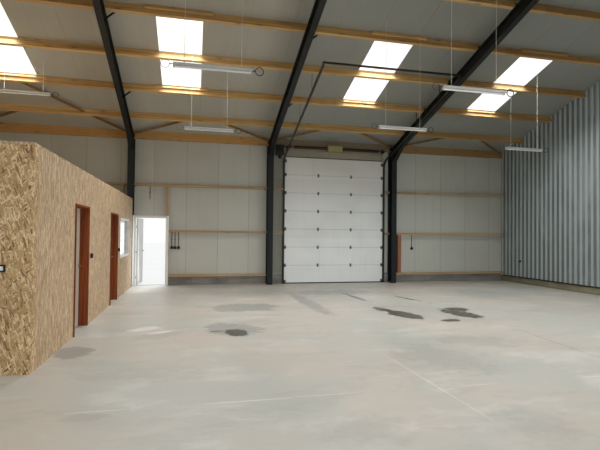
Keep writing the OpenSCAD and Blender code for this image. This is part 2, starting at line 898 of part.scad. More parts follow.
// Distance from the wall of a roller that stands at height z in the tracks
function bend_s(z) = z < bend_z()
    ? roller_s
    : track_clear + track_r - sqrt(pow(track_r - track_d / 2, 2) - pow(z - bend_z(), 2));

// A hinge on the inside of the door over the joint at height z
module gate_hinge(x, z) {
    translate([x, -half_span + section_t, z]) {
        block([-hinge_w / 2, 0, -hinge_h / 2], [hinge_w / 2, hinge_t, hinge_h / 2]);
        translate([-hinge_w / 2, hinge_t + 6, 0]) rotate([0, 90, 0]) cylinder(r = 8, h = hinge_w);
    }
}

// A hinge at the door's edge, with the arm, stem and roller that run in the track
module edge_hinge(side, z, roller_at, roller_z) {
    gate_hinge(side * edge_x, z);
    y0 = -half_span + section_t;
    x0 = side * (edge_x + hinge_w / 2);
    low = min(z, roller_z) - 22;
    high = max(z, roller_z) + 22;
    block([min(x0, x0 - side * 4), y0, low], [max(x0, x0 - side * 4), -half_span + roller_at + 16, high]);
    translate([x0 - side * 4, -half_span + roller_at, roller_z]) rotate([0, side * 90, 0]) {
        cylinder(r = 6, h = 26);
        translate([0, 0, 24]) cylinder(r = roller_r, h = 14);
    }
}

module gate_hinges() color(galvanised_colour) translate([-gate_x, 0, 0]) {
    for (i = [1 : gate_sections - 1]) {
        z = floor_z + i * section_h - gate_gap / 2;
        for (x = [-gate_w / 6, gate_w / 6]) gate_hinge(x, z);
        for (side = [-1, 1]) edge_hinge(side, z, roller_s, z);
    }
    for (side = [-1, 1]) edge_hinge(side, floor_z + hinge_h / 2 + 10, roller_s, floor_z + hinge_h / 2 + 10);
    for (side = [-1, 1]) edge_hinge(side, top_bracket_z, bend_s(top_bracket_z), top_bracket_z);
}

// A round part on the shaft's line between two offsets from the door's middle
module on_shaft(from, to, radius) {
    translate([-gate_x + from, -half_span + shaft_y, floor_z + shaft_z]) rotate([0, 90, 0])
        cylinder(r = radius, h = to - from);
}

// The shaft with its brackets, its two springs and the drums for the door's cables
module gate_shaft() color(galvanised_colour) {
    for (dx = [-gate_w / 2 + 60, 0, gate_w / 2 - 60]) block(
        [-gate_x + dx - bracket_t / 2, -half_span, floor_z + shaft_z - 60],
        [-gate_x + dx + bracket_t / 2, -half_span + shaft_y + 30, floor_z + shaft_z + 25]);
    on_shaft(-gate_w / 2, gate_w / 2 + drive_gap, shaft_r);
    on_shaft(coupling_off + coupling_l / 2 + 30, gate_w / 2 - 260, drum_r);
    on_shaft(-gate_w / 2 + 260, coupling_off - coupling_l / 2 - 30, drum_r);
    on_shaft(gate_w / 2 - 160, gate_w / 2 - 100, 60);
    on_shaft(-gate_w / 2 + 100, -gate_w / 2 + 160, 60);
}

// The board over the door
module gate_head() color(cladding_colour)
    block([-gate_x - gate_w / 2, -half_span, floor_z + gate_h + fit],
        [-gate_x + gate_w / 2, -half_span + head_t, floor_z + gate_h + fit + head_h]);

// The block round the middle of the shaft, held by the middle bracket
module gate_coupling() color(timber_colour) difference() {
    block([-gate_x + coupling_off - coupling_l / 2, -half_span + shaft_y - coupling_s,
            floor_z + shaft_z - coupling_z],
        [-gate_x + coupling_off + coupling_l / 2, -half_span + shaft_y + coupling_s,
            floor_z + shaft_z + coupling_z]);
    block([-gate_x - bracket_t / 2, -half_span, floor_z + shaft_z - coupling_z - 1],
        [-gate_x + bracket_t / 2, -half_span + shaft_y + 30.5, floor_z + shaft_z + 25.5]);
    on_shaft(coupling_off - coupling_l / 2 - 1, coupling_off + coupling_l / 2 + 1, shaft_r + 0.3);
}

// The drive at the end of the shaft, on a plate from the wall
module gate_drive() color(steel_colour) {
    x0 = -gate_x + gate_w / 2 + drive_gap;
    z = floor_z + shaft_z;
    block([x0 + 40, -half_span, z - 250], [x0 + 50, -half_span + 200, z - 60]);
    block([x0, -half_span + 180, z - 290], [x0 + drive_w, -half_span + 350, z + 40]);
    translate([x0 + drive_w / 2, -half_span + 350, z - 60]) rotate([-90, 0, 0]) cylinder(r = 70, h = 25);
    translate([x0 + drive_w / 2, -half_span + 265, z - 400]) cylinder(r = 55, h = 111);
}

// A lever handle on a leaf's face at the origin, its lever pointing along +X, sticking out along -Y
module lever() {
    rotate([90, 0, 0]) {
        cylinder(r = 24, h = 8);
        cylinder(r = 9, h = 50);
        translate([-9, -9, 38]) cube([125, 18, 12]);
    }
}

// A leaf that hangs from the Z axis and reaches along -X, with its hinges on the -Y side
module hinged_leaf(width, height, thick, hinges) {
    translate([-fit / 2 - width, hinge_out, 0]) cube([width, thick, height]);
    for (z = hinges) translate([0, 0, z]) {
        cylinder(r = knuckle_r, h = knuckle_l);
        block([-7, 0, 0], [-3, hinge_out, knuckle_l]);
        block([-fit / 2 - strap_l, hinge_out - strap_t, 0], [-3, hinge_out + 1, knuckle_l]);
    }
    translate([-fit / 2 - width + 60, 0, handle_z]) {
        translate([0, hinge_out + 1, 0]) lever();
        translate([0, hinge_out + thick - 1, 0]) mirror([0, 1, 0]) lever();
    }
}

// The hinge halves on the frame beside such a leaf, above the leaf's own
module frame_hinges(hinges) {
    for (z = hinges) translate([0, 0, z + knuckle_l + fit]) {
        cylinder(r = knuckle_r, h = knuckle_l);
        block([3, 0, 0], [7, hinge_out, knuckle_l]);
        block([3, hinge_out - strap_t, 0], [fit / 2 + strap_l - 2, hinge_out + 1, knuckle_l]);
    }
}

// Places children at the entrance door's hinge line, closed
module at_entry_hinge() {
    translate([entry_hinge_x, -hall_y - hinge_out, floor_z + 2 * fit]) children();
}

// Frame of the entrance door: two jambs and a head in the wall's thickness
module entry_frame_set() color(white_colour) {
    difference() {
        block([entry_x - entry_w / 2, -hall_y, floor_z], [entry_x + entry_w / 2, -half_span, floor_z + entry_h]);
        block([entry_x - entry_w / 2 + entry_frame, -hall_y - 1, floor_z - 1],
            [entry_x + entry_w / 2 - entry_frame, -half_span + 1, floor_z + entry_h - entry_frame]);
    }
    at_entry_hinge() frame_hinges(entry_hinges);
}

module entry_leaf() color(white_colour) at_entry_hinge() rotate([0, 0, entry_open])
    hinged_leaf(entry_leaf_w, entry_leaf_h, entry_leaf_t, entry_hinges);

// A stretch of the office's side wall from y0 to y1, from z0 to z1 above the floor
module office_wall(y0, y1, z0, z1) {
    block([office_x, y0, floor_z + z0], [office_x + office_t, y1, floor_z + z1]);
}

function door_far(i) = office_door_ys[i] - office_door_w / 2;
function door_near(i) = office_door_ys[i] + office_door_w / 2;

module office_end_wall() color(board_colour)
    block([office_x, office_y - office_t, floor_z], [lining_x, office_y, floor_z + office_top]);

// The office's side wall beside its two doorways, with the hole for the window
module office_side_wall() color(board_colour) {
    office_wall(door_near(0), office_y - office_t, 0, office_top);
    office_wall(door_near(1), door_far(0), 0, office_top);
    difference() {
        office_wall(office_start, door_far(1), 0, office_top);
        block([office_x - 1, window_y - window_w / 2, floor_z + window_sill],
            [office_x + office_t + 1, window_y + window_w / 2, floor_z + window_sill + window_h]);
    }
}

module office_lintels() color(board_colour)
    for (i = [0, 1]) office_wall(door_far(i), door_near(i), office_door_h, office_top);

module office_roof() color(board_colour) difference() {
    block([office_x, -half_span, floor_z + office_top], [lining_x, office_y, floor_z + office_h]);
    block([office_x - 1, -half_span - 1, floor_z], [bay + flange_w / 2 + fit, office_start, floor_z + office_h + 1]);
}

// Places children at the hinge line of an office doorway, on the office side of its lining
module at_office_hinge(i) {
    translate([office_x + lining_d + hinge_out, door_near(i) - lining_t - fit / 2, floor_z + 2 * fit])
        rotate([0, 0, 90]) children();
}

// A frame of boards on the doorway's two sides and head, from x0 to x1, inset and thick
module door_boards(i, x0, x1, inset, thick) {
    y0 = door_far(i) + inset;
    y1 = door_near(i) - inset;
    top = floor_z + office_door_h - inset;
    difference() {
        block([x0, y0, floor_z], [x1, y1, top]);
        block([x0 - 1, y0 + thick, floor_z - 1], [x1 + 1, y1 - thick, top - thick]);
    }
}

module office_linings() color(lining_colour) for (i = [0, 1]) {
    stop_x = office_x + lining_d - office_leaf_t - fit;
    door_boards(i, office_x - lining_proud, office_x + lining_d, 0, lining_t);
    door_boards(i, stop_x - stop_w, stop_x, lining_t - 1, stop_t + 1);
    at_office_hinge(i) frame_hinges(office_hinges);
}

// An office door leaf, closed, flush with the office side of its lining
module office_leaf(i) {
    at_office_hinge(i) hinged_leaf(office_leaf_w, office_leaf_h, office_leaf_t, office_hinges);
}

module office_door_near() color(white_colour) office_leaf(0);

module office_door_far() color(white_colour) office_leaf(1);

module office_window() color(white_colour) difference() {
    block([office_x, window_y - window_w / 2, floor_z + window_sill],
        [office_x + office_t, window_y + window_w / 2, floor_z + window_sill + window_h]);
    block([office_x - 1, window_y - window_w / 2 + window_frame, floor_z + window_sill + window_frame],
        [office_x + office_t + 1, window_y + window_w / 2 - window_frame,
            floor_z + window_sill + window_h - window_frame]);
}

module office_glass() color([0.6, 0.75, 0.8, 0.5])
    block([office_x + office_t / 2 - glass_t / 2, window_y - window_w / 2 + window_frame,
            floor_z + window_sill + window_frame],
        [office_x + office_t / 2 + glass_t / 2, window_y + window_w / 2 - window_frame,
            floor_z + window_sill + window_h - window_frame]);

// A batten light: a tapered housing with end caps and a tube below
module lamp() {
    along_x(-lamp_l / 2, lamp_l / 2) polygon([
        [-lamp_w / 2, 0], [-lamp_w / 2, -8], [-lamp_w / 4, -lamp_h * 0.6],
        [lamp_w / 4, -lamp_h * 0.6], [lamp_w / 2, -8], [lamp_w / 2, 0]
    ]);
    for (side = [-1, 1]) block(
        [side * (lamp_l / 2 - 12) - 12, -lamp_w / 4, -lamp_h - tube_r],
        [side * (lamp_l / 2 - 12) + 12, lamp_w / 4, -1]);
    translate([-lamp_l / 2 + 10, 0, -lamp_h]) rotate([0, 90, 0]) cylinder(r = tube_r, h = lamp_l - 20);
}

module hanging_lights() color(white_colour) for (p = lights)
    translate([p[0], -half_span + p[1], floor_z + p[2]]) lamp();

// Height of the roof's underside above a light
function roof_over(p) = roof_z(min(p[1], span - p[1]));

module light_wires() color(galvanised_colour) for (p = lights, side = [-1, 1])
    translate([p[0] + side * wire_x, -half_span + p[1], floor_z + p[2]])
        cylinder(r = wire_r, h = roof_over(p) - wire_r * tan(pitch) - floor_z - p[2]);

floor_slab();
plinths();
plinth_gables();
columns();
rafters_front();
rafters_rear();
rafter_ties();
purlins();
roof_braces();
wall_rails();
wall_posts();
wall_front();
wall_heads();
wall_rear();
gable_walls();
gable_linings();
roof_front();
roof_rear();
rooflights();
rooflight_battens();
ridge_cap();
verge_trims();
gutters();
downpipes();
gate_leaf();
gate_hinges();
gate_tracks();
gate_shaft();
gate_head();
gate_coupling();
gate_drive();
entry_frame_set();
entry_leaf();
office_end_wall();
office_side_wall();
office_lintels();
office_roof();
office_linings();
office_door_near();
office_door_far();
office_window();
office_glass();
hanging_lights();
light_wires();
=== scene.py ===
"""Dresses the factory hall: the finishes, the fittings, the lamps, the floor and the camera."""

import logging
import math
from dataclasses import dataclass
from enum import Enum
from functools import lru_cache, reduce
from typing import Any, Callable, Iterable

import bpy
from mathutils import Matrix, Vector


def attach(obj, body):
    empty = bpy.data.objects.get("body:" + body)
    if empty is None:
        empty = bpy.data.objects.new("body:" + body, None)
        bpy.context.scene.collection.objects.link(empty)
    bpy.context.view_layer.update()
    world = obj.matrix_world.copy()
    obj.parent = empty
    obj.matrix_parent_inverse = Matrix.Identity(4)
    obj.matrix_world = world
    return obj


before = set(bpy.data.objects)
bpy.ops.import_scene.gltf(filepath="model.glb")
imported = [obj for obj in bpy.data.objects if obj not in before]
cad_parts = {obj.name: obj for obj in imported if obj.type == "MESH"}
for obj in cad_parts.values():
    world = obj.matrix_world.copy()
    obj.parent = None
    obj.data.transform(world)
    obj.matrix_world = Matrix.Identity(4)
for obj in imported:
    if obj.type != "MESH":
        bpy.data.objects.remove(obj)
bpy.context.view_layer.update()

LOG = logging.getLogger("hall")
NEVER = 99.0  # beyond the hall: a mark that starts here doesn't show

Point = tuple[float, float, float]
Colour = tuple[float, float, float, float]
Piece = bpy.types.Object


def rgb(red: int, green: int, blue: int) -> Colour:
    """Turns an 8-bit screen colour into the linear colour that a shader takes.

    Args:
        red: Red, 0 to 255.
        green: Green, 0 to 255.
        blue: Blue, 0 to 255.

    Returns:
        The linear red, green and blue, and an alpha of 1.
    """
    shares = (part / 255 for part in (red, green, blue))
    return *(s / 12.92 if s <= 0.04045 else ((s + 0.055) / 1.055) ** 2.4 for s in shares), 1.0


def shade(colour: Colour, factor: float) -> Colour:
    """A colour made lighter or darker by a factor."""
    return colour[0] * factor, colour[1] * factor, colour[2] * factor, 1.0


WHITE = (1.0, 1.0, 1.0, 1.0)
BLANK = (0.0, 0.0, 0.0, 1.0)
BARE_METAL = rgb(150, 152, 154)
OUTSIDE_GREY = rgb(150, 155, 156)


class Axis(Enum):
    """An axis of the hall: along it, across it, or up."""

    X = 0
    Y = 1
    Z = 2


class Side(Enum):
    """A side of a piece, by the way its faces look."""

    RIGHT = (1, 0, 0)
    LEFT = (-1, 0, 0)
    REAR = (0, 1, 0)
    FRONT = (0, -1, 0)
    TOP = (0, 0, 1)
    FOOT = (0, 0, -1)


class Plane(Enum):
    """The plane in which a sheet of strand board lies."""

    UPRIGHT = "upright"
    FLAT = "flat"


@dataclass(frozen=True)
class HallPlan:
    """Sizes of the hall that its fittings share, in metres."""

    half_span: float = 8.05
    wall: float = 0.1
    floor: float = 0.15
    eaves: float = 4.97
    pitch: float = math.radians(17)
    bay: float = 4.35
    gable_frame: float = 8.96
    column_depth: float = 0.36
    purlin_depth: float = 0.186
    purlin_thick: float = 0.075
    purlin_first: float = 1.095
    purlin_step: float = 1.355
    roof: float = 0.1
    rib: float = 0.036
    lining_x: float = 8.8375
    hall_x: float = 9.1475
    gate_x: float = -2.28
    gate_half: float = 1.765
    gate_height: float = 4.27
    sections: int = 7
    entry_x: float = 3.75
    entry_half: float = 0.505
    office_x: float = 4.272
    office_y: float = 1.303
    rail_mid: float = 1.675
    rail_top: float = 3.125

    @property
    def outer(self) -> float:
        """Distance from the hall's middle to the outer face of a long wall."""
        return self.half_span + self.wall

    @property
    def frames(self) -> tuple[float, ...]:
        """Places of the five frames along the hall."""
        return -self.gable_frame, -self.bay, 0.0, self.bay, self.gable_frame

    @property
    def purlins(self) -> tuple[float, ...]:
        """Distances of the six purlins of a slope from the long wall."""
        return tuple(self.purlin_first + i * self.purlin_step for i in range(6))

    @property
    def section(self) -> float:
        """Height of one section of the sectional door."""
        return self.gate_height / self.sections

    def roof_z(self, s: float) -> float:
        """Height of the roof's underside at a distance from the long wall."""
        return self.eaves + s * math.tan(self.pitch)

    def under(self, s: float, depth: float) -> float:
        """The same height, less a depth measured square to the roof."""
        return self.roof_z(s) - depth / math.cos(self.pitch)

    def slope(self, x: float) -> Matrix:
        """The frame of the front roof slope: its origin on the wall at x, its Y up the slope."""
        foot = Matrix.Translation((x, -self.half_span, self.eaves))
        return foot @ Matrix.Rotation(self.pitch, 4, "X")


HALL = HallPlan()


def operation(kind: str, what: str, swapped: bool = False) -> Callable[..., "Val"]:
    """Makes a method of Val that adds a Math node.

    Args:
        kind: The node's operation.
        what: The method's docstring.
        swapped: Whether the value itself comes last.

    Returns:
        The method.
    """
    def method(value: "Val", *others: "Val | float") -> "Val":
        """Adds the node."""
        return value.sheet.math(kind, *((*others, value) if swapped else (value, *others)))

    method.__doc__ = what
    return method


class Val:
    """The output of a node, on which arithmetic adds Math nodes."""

    __add__ = __radd__ = operation("ADD", "This value plus another.")
    __sub__ = operation("SUBTRACT", "This value less another.")
    __rsub__ = operation("SUBTRACT", "A number less this value.", swapped=True)
    __mul__ = __rmul__ = operation("MULTIPLY", "This value times another.")
    __truediv__ = operation("DIVIDE", "This value divided by another.")
    __pow__ = operation("POWER", "This value to a power.")
    size = operation("ABSOLUTE", "The value without its sign.")
    over = operation("GREATER_THAN", "1 where the value is over a limit, else 0.")
    least = operation("MINIMUM", "The smaller of this value and another.")
    most = operation("MAXIMUM", "The larger of this value and another.")
    whole = operation("FLOOR", "The value rounded down.")
    rest = operation("FRACT", "What the value has over the whole number below it.")

    def __init__(self, sheet: "NodeSheet", socket: bpy.types.NodeSocket) -> None:
        """Wraps a socket of a tree under construction."""
        self.sheet = sheet
        self.socket = socket

    def fade(self, start: float, end: float) -> "Val":
        """A smooth step of the value.

        Args:
            start: The value at which the step is 0.
            end: The value at which it is 1, which may be below start.

        Returns:
            The step, from 0 to 1.
        """
        low, high = min(start, end), max(start, end)
        step = self.sheet.node("ShaderNodeMapRange", {"interpolation_type": "SMOOTHSTEP"},
                               {"Value": self, "From Min": low, "From Max": high})
        return step if start < end else 1 - step

    def to_joint(self, at: float, step: float) -> "Val":
        """Distance to the nearest of the joints that lie a step apart, one of them at a place."""
        part = ((self - at) / step).rest()
        return part.least(1 - part) * step


class NodeSheet:
    """A node tree under construction."""

    def __init__(self, tree: bpy.types.NodeTree, end: str) -> None:
        """Empties a tree and gives it an output node.

        Args:
            tree: The tree.
            end: The output node's kind.
        """
        self.tree = tree
        tree.nodes.clear()
        self.end = tree.nodes.new(end)

    def show(self, value: Val) -> None:
        """Links a value to the tree's output."""
        self.tree.links.new(value.socket, self.end.inputs[0])

    def node(self, kind: str, settings: dict[str, Any] | None = None,
             sockets: dict[str | int, Any] | None = None, out: str | int = 0) -> Val:
        """Adds a node.

        Args:
            kind: The node's type.
            settings: Its settings, set first; "stops" are a ramp's places and colours.
            sockets: Values or links of its sockets.
            out: The output that is wanted.

        Returns:
            That output.
        """
        made = self.tree.nodes.new(kind)
        for key, value in (settings or {}).items():
            if key == "stops":
                ramp = made.color_ramp.elements
                while len(ramp) < len(value):
                    ramp.new(1.0)
                for stop, (place, colour) in zip(ramp, value):
                    stop.position, stop.color = place, colour
            else:
                setattr(made, key, value)
        for key, value in (sockets or {}).items():
            if isinstance(value, Val):
                self.tree.links.new(value.socket, made.inputs[key])
            else:
                made.inputs[key].default_value = value
        return Val(self, made.outputs[out])

    def math(self, operation: str, *values: Val | float) -> Val:
        """A Math node on values and numbers."""
        return self.node("ShaderNodeMath", {"operation": operation}, dict(enumerate(values)))


class Ink(NodeSheet):
    """A material under construction: one shader, and the nodes that vary it over the surface."""

    def __init__(self, name: str, **plain: Any) -> None:
        """Starts a material.

        Args:
            name: The material's name.
            plain: What is the same all over, by the shader's socket names with _ for spaces.
        """
        self.material = bpy.data.materials.new(name)
        self.material.use_nodes = True
        super().__init__(self.material.node_tree, "ShaderNodeOutputMaterial")
        self.shader = self.node("ShaderNodeBsdfPrincipled", sockets={
            key.replace("_", " "): value for key, value in plain.items()})
        self.show(self.shader)
        self.place = self.node("ShaderNodeTexCoord", out="Object")
        self.x, self.y, self.z = self.parts(self.place)

    def feed(self, **sockets: Val) -> "Ink":
        """Links values to the shader's sockets, by their names with _ for spaces."""
        for key, value in sockets.items():
            self.tree.links.new(value.socket, self.shader.socket.node.inputs[key.replace("_", " ")])
        return self

    def parts(self, vector: Val) -> tuple[Val, Val, Val]:
        """The three parts of a vector."""
        first = self.node("ShaderNodeSeparateXYZ", sockets={0: vector})
        return tuple(Val(self, part) for part in first.socket.node.outputs)

    def vector(self, x: Val | float, y: Val | float, z: Val | float = 0.0) -> Val:
        """A vector of three values."""
        return self.node("ShaderNodeCombineXYZ", sockets={0: x, 1: y, 2: z})

    def moved(self, place: Val, x: Val, y: Val, z: Val | float = 0.0) -> Val:
        """Coordinates moved by values that vary over the surface."""
        return self.node("ShaderNodeVectorMath", {"operation": "ADD"},
                         {0: place, 1: self.vector(x, y, z)})

    def stretched(self, scale: Point, shift: Point = (0, 0, 0), turn: Point = (0, 0, 0),
                  place: Val | None = None) -> Val:
        """The surface's coordinates, or others, moved, turned and scaled for a pattern."""
        return self.node("ShaderNodeMapping", None, {
            "Vector": place or self.place, "Location": shift, "Rotation": turn, "Scale": scale})

    def noise(self, scale: float | Point, detail: float, rough: float,
              shift: Point = (0, 0, 0), place: Val | None = None) -> Val:
        """Cloudy noise.

        Args:
            scale: Spots in a metre, or along each axis.
            detail: Number of finer layers.
            rough: Weight of the finer layers.
            shift: A shift of the pattern.
            place: Coordinates to use in place of the surface's own.

        Returns:
            The noise, mostly between 0.3 and 0.7.
        """
        stretch = scale if isinstance(scale, tuple) else (scale,) * 3
        return self.node("ShaderNodeTexNoise", None, {
            "Vector": self.stretched(stretch, shift, place=place), "Scale": 1.0,
            "Detail": detail, "Roughness": rough})

    def cells(self, place: Val, feature: str = "F1", out: str = "Distance", flat: bool = False) -> Val:
        """Cells of one unit: their distance, edge or random colour."""
        return self.node("ShaderNodeTexVoronoi", {
            "feature": feature, "voronoi_dimensions": "2D" if flat else "3D"},
            {"Vector": place, "Scale": 1.0}, out)

    def chance(self, value: Val) -> Val:
        """A random number from 0 to 1 for each whole value."""
        return self.node("ShaderNodeTexWhiteNoise", {"noise_dimensions": "1D"}, {"W": value})

    def waves(self, value: Val, length: float) -> Val:
        """A sine wave of a length along a value."""
        return self.math("SINE", value * (2 * math.pi / length))

    def blend(self, first: Val | Colour, second: Val | Colour, share: Val | float) -> Val:
        """Two colours mixed, by the share of the second."""
        return self.node("ShaderNodeMix", {"data_type": "RGBA"}, {0: share, 6: first, 7: second}, 2)

    def coats(self, colour: Val | Colour, *coats: tuple[Val | Colour, Val | float]) -> Val:
        """A colour with others laid over it one by one, each with the share that it covers."""
        return reduce(lambda under, coat: self.blend(under, *coat), coats, colour)

    def rise(self, height: Val, distance: float, strength: float) -> "Ink":
        """Gives the surface a relief of a height in metres."""
        return self.feed(Normal=self.node("ShaderNodeBump", None, {
            "Strength": strength, "Distance": distance, "Height": height}))

    def up(self) -> Val:
        """How much the surface faces up, from -1 to 1."""
        return self.parts(self.node("ShaderNodeNewGeometry", out="True Normal"))[2]


@dataclass(frozen=True)
class Finish:
    """A surface finish. Each kind of finish draws its own material."""

    name: str

    def draw(self) -> Ink:
        """Draws the finish."""
        raise NotImplementedError

    def material(self) -> bpy.types.Material:
        """The finish's material, which is drawn once."""
        return drawn(self)


@lru_cache(maxsize=None)
def drawn(finish: Finish) -> bpy.types.Material:
    """The material of a finish."""
    return finish.draw().material


@dataclass(frozen=True)
class Spot:
    """A mark on the floor, in metres and degrees, with a ragged and soft edge."""

    x: float
    y: float
    half_x: float
    half_y: float
    turn: float = 0.0
    ragged: float = 0.5
    soft: float = 0.25

    def mask(self, ink: Ink, wobble: Val) -> Val:
        """How much the mark covers each place.

        Args:
            ink: The material.
            wobble: Noise that makes the edge ragged.

        Returns:
            1 inside the mark, 0 outside.
        """
        a = math.radians(self.turn)
        dx, dy = ink.x - self.x, ink.y - self.y
        along = (dx * math.cos(a) + dy * math.sin(a)) / self.half_x
        across = (dy * math.cos(a) - dx * math.sin(a)) / self.half_y
        far = (along * along + across * across) ** 0.5 + (wobble - 0.5) * (2 * self.ragged)
        return far.fade(1.0, 1.0 - self.soft)


@dataclass(frozen=True)
class Stains:
    """Marks of one kind: their colour, how strongly they cover, and each one's Spot values."""

    tone: Colour
    strength: float
    spots: tuple[tuple[float, ...], ...]

    def mask(self, ink: Ink, wobble: Val) -> Val:
        """How much the marks cover each place, for a noise that makes their edges ragged."""
        return reduce(Val.most, [Spot(*spot).mask(ink, wobble) for spot in self.spots])


@dataclass(frozen=True)
class TrowelledFloor(Finish):
    """The hall's power-trowelled slab, with its clouds, dust and damp stains."""

    warm: Colour = rgb(197, 190, 180)
    cool: Colour = rgb(187, 188, 182)
    pale: Colour = rgb(214, 212, 206)
    edge: Colour = rgb(150, 147, 140)
    faded: Stains = Stains(rgb(158, 160, 156), 0.42, (
        (-0.84, 1.45, 0.70, 1.05, 12, 1.5, 0.6), (-1.9, 0.7, 0.9, 0.45, -20, 1.5, 0.6),
        (0.98, 3.55, 0.55, 0.42, 0, 1.3, 0.8), (3.38, 2.76, 0.28, 0.11, 0, 0.9, 0.5),
        (4.03, 0.32, 0.25, 0.32, 0, 0.6, 0.2), (4.9, 1.75, 0.6, 0.35, 0, 0.5, 0.3),
        (3.0, -0.55, 0.55, 0.30, 30, 1.0, 0.6), (-2.4, -2.2, 1.5, 1.6, 0, 1.0, 0.8),
        (-5.6, -4.6, 1.2, 2.0, 0, 1.0, 0.8), (-0.5, 3.75, 0.5, 0.5, 0, 1.3, 0.8),
        (-2.0, -6.6, 2.2, 0.7, 0, 1.2, 0.8), (0.8, -6.0, 3.2, 1.3, 0, 1.0, 0.9)))
    greyed: Stains = Stains(rgb(150, 151, 147), 0.70, (
        (1.76, -0.86, 0.52, 0.62, 12, 0.9, 0.25), (4.03, 0.32, 0.27, 0.32, 20, 0.8, 0.15),
        (1.33, -3.20, 0.82, 0.62, -6, 1.0, 0.25), (-0.27, -3.80, 0.24, 2.5, 1, 0.9, 0.5),
        (-1.6, -5.5, 2.0, 0.9, 0, 0.9, 0.8)))
    dusty: Stains = Stains(rgb(238, 236, 230), 0.52, (
        (3.24, -1.13, 0.36, 0.16, 30, 0.8, 0.4), (2.95, -0.80, 0.30, 0.10, 30, 0.8, 0.4),
        (3.34, 2.63, 0.34, 0.015, 0, 0.5, 0.4), (1.90, 2.635, 0.50, 0.018, 0, 0.5, 0.4),
        (1.10, 2.62, 0.50, 0.010, 0, 0.6, 0.6), (-0.16, 2.40, 0.013, 1.75, 1, 0.6, 0.6),
        (-2.35, 2.635, 0.50, 0.018, 0, 0.5, 0.5), (-0.65, 2.64, 0.30, 0.012, 0, 0.6, 0.6),
        (3.9, -5.6, 0.5, 2.6, 0, 0.6, 0.9), (0.6, 5.0, 1.6, 0.5, 20, 0.9, 0.6)))
    damp: Stains = Stains(rgb(80, 79, 69), 0.92, (
        (1.73, -0.58, 0.21, 0.30, 10, 0.6, 0.14), (2.03, -0.72, 0.15, 0.05, 0, 0.8, 0.3),
        (-1.84, -1.72, 0.27, 0.52, 10, 0.8, 0.12), (-1.68, -2.35, 0.14, 0.42, 12, 0.9, 0.15),
        (-1.74, -4.55, 0.08, 0.95, 3, 1.2, 0.3), (-3.10, -1.62, 0.26, 0.60, 14, 0.8, 0.12),
        (-3.35, -2.15, 0.26, 0.30, 0, 0.9, 0.15), (-2.46, -0.95, 0.23, 0.13, 10, 0.7, 0.2),
        (-3.05, -3.90, 0.07, 0.85, 13, 1.2, 0.4)))
    seams: Stains = Stains(rgb(110, 106, 98), 0.7, (
        (-3.12, 0.8, 0.012, 1.5, -6, 0.5, 0.6), (-3.05, -5.6, 0.010, 1.6, 8, 0.5, 0.6)))

    def draw(self) -> Ink:
        """Draws the floor: clouds, trowel marks, stains, dust and a satin sheen.

        Returns:
            The finished shader.
        """
        ink = Ink(self.name)
        wobble = ink.noise(3.4, 6.0, 0.66)
        clouds = ink.noise((0.42, 0.30, 0.4), 5.0, 0.64, (3.1, 1.7, 0))
        swept = ink.moved(ink.place, wobble * 0.5, clouds * 0.9)
        patches = ink.noise((0.9, 1.5, 1.0), 7.0, 0.70, (7.3, 2.2, 0), swept)
        blots = ink.noise((0.55, 1.25, 1.0), 7.0, 0.72, (1.9, 8.4, 0), swept)
        arcs = ink.noise((0.7, 4.6, 1.0), 5.0, 0.66, (0.4, 5.0, 0), swept)
        grit = ink.noise(95.0, 2.0, 0.7)
        kinds = self.faded, self.greyed, self.dusty, self.damp, self.seams
        masks = [kind.mask(ink, wobble) for kind in kinds]
        colour = ink.coats(
            self.cool, (self.warm, clouds.fade(0.36, 0.58)),
            (self.pale, patches.fade(0.49, 0.68) * 0.56),
            (shade(self.cool, 0.86), blots.fade(0.52, 0.64) * 0.58),
            (shade(self.warm, 0.86), arcs.fade(0.52, 0.68) * 0.50),
            (shade(self.cool, 0.66), grit.fade(0.58, 0.86) * 0.30),
            *((kind.tone, mask * kind.strength) for kind, mask in zip(kinds, masks)),
            (self.edge, ink.z.fade(HALL.floor - 0.001, HALL.floor - 0.0015)))
        _, _, dusty, damp, _ = masks
        gloss = 0.46 + (patches - 0.5) * 0.35 - damp * 0.16 + dusty * 0.2
        ink.feed(Base_Color=colour, Roughness=gloss.most(0.25))
        return ink.rise(grit * 0.3 + patches * 0.7, 0.0012, 0.6)


@dataclass(frozen=True)
class CastConcrete(Finish):
    """Concrete cast in forms: pour lines, pores and damp at the foot."""

    tone: Colour = rgb(144, 140, 135)

    def draw(self) -> Ink:
        """Draws the concrete.

        Returns:
            The finished shader.
        """
        ink = Ink(self.name, Roughness=0.88)
        clouds = ink.noise((1.4, 1.4, 4.0), 4.0, 0.6)
        pores = ink.cells(ink.stretched((38.0,) * 3)).fade(0.16, 0.05)
        streak = ink.noise((9.0, 9.0, 0.7), 3.0, 0.6)
        ink.feed(Base_Color=ink.coats(
            shade(self.tone, 0.74), (shade(self.tone, 1.14), clouds.fade(0.32, 0.68)),
            (shade(self.tone, 0.62), streak.fade(0.55, 0.8) * 0.5),
            (shade(self.tone, 0.42), pores * 0.55),
            (shade(self.tone, 0.6), ink.z.fade(0.22, 0.15) * 0.5)))
        return ink.rise(clouds - pores * 0.4, 0.004, 0.8)


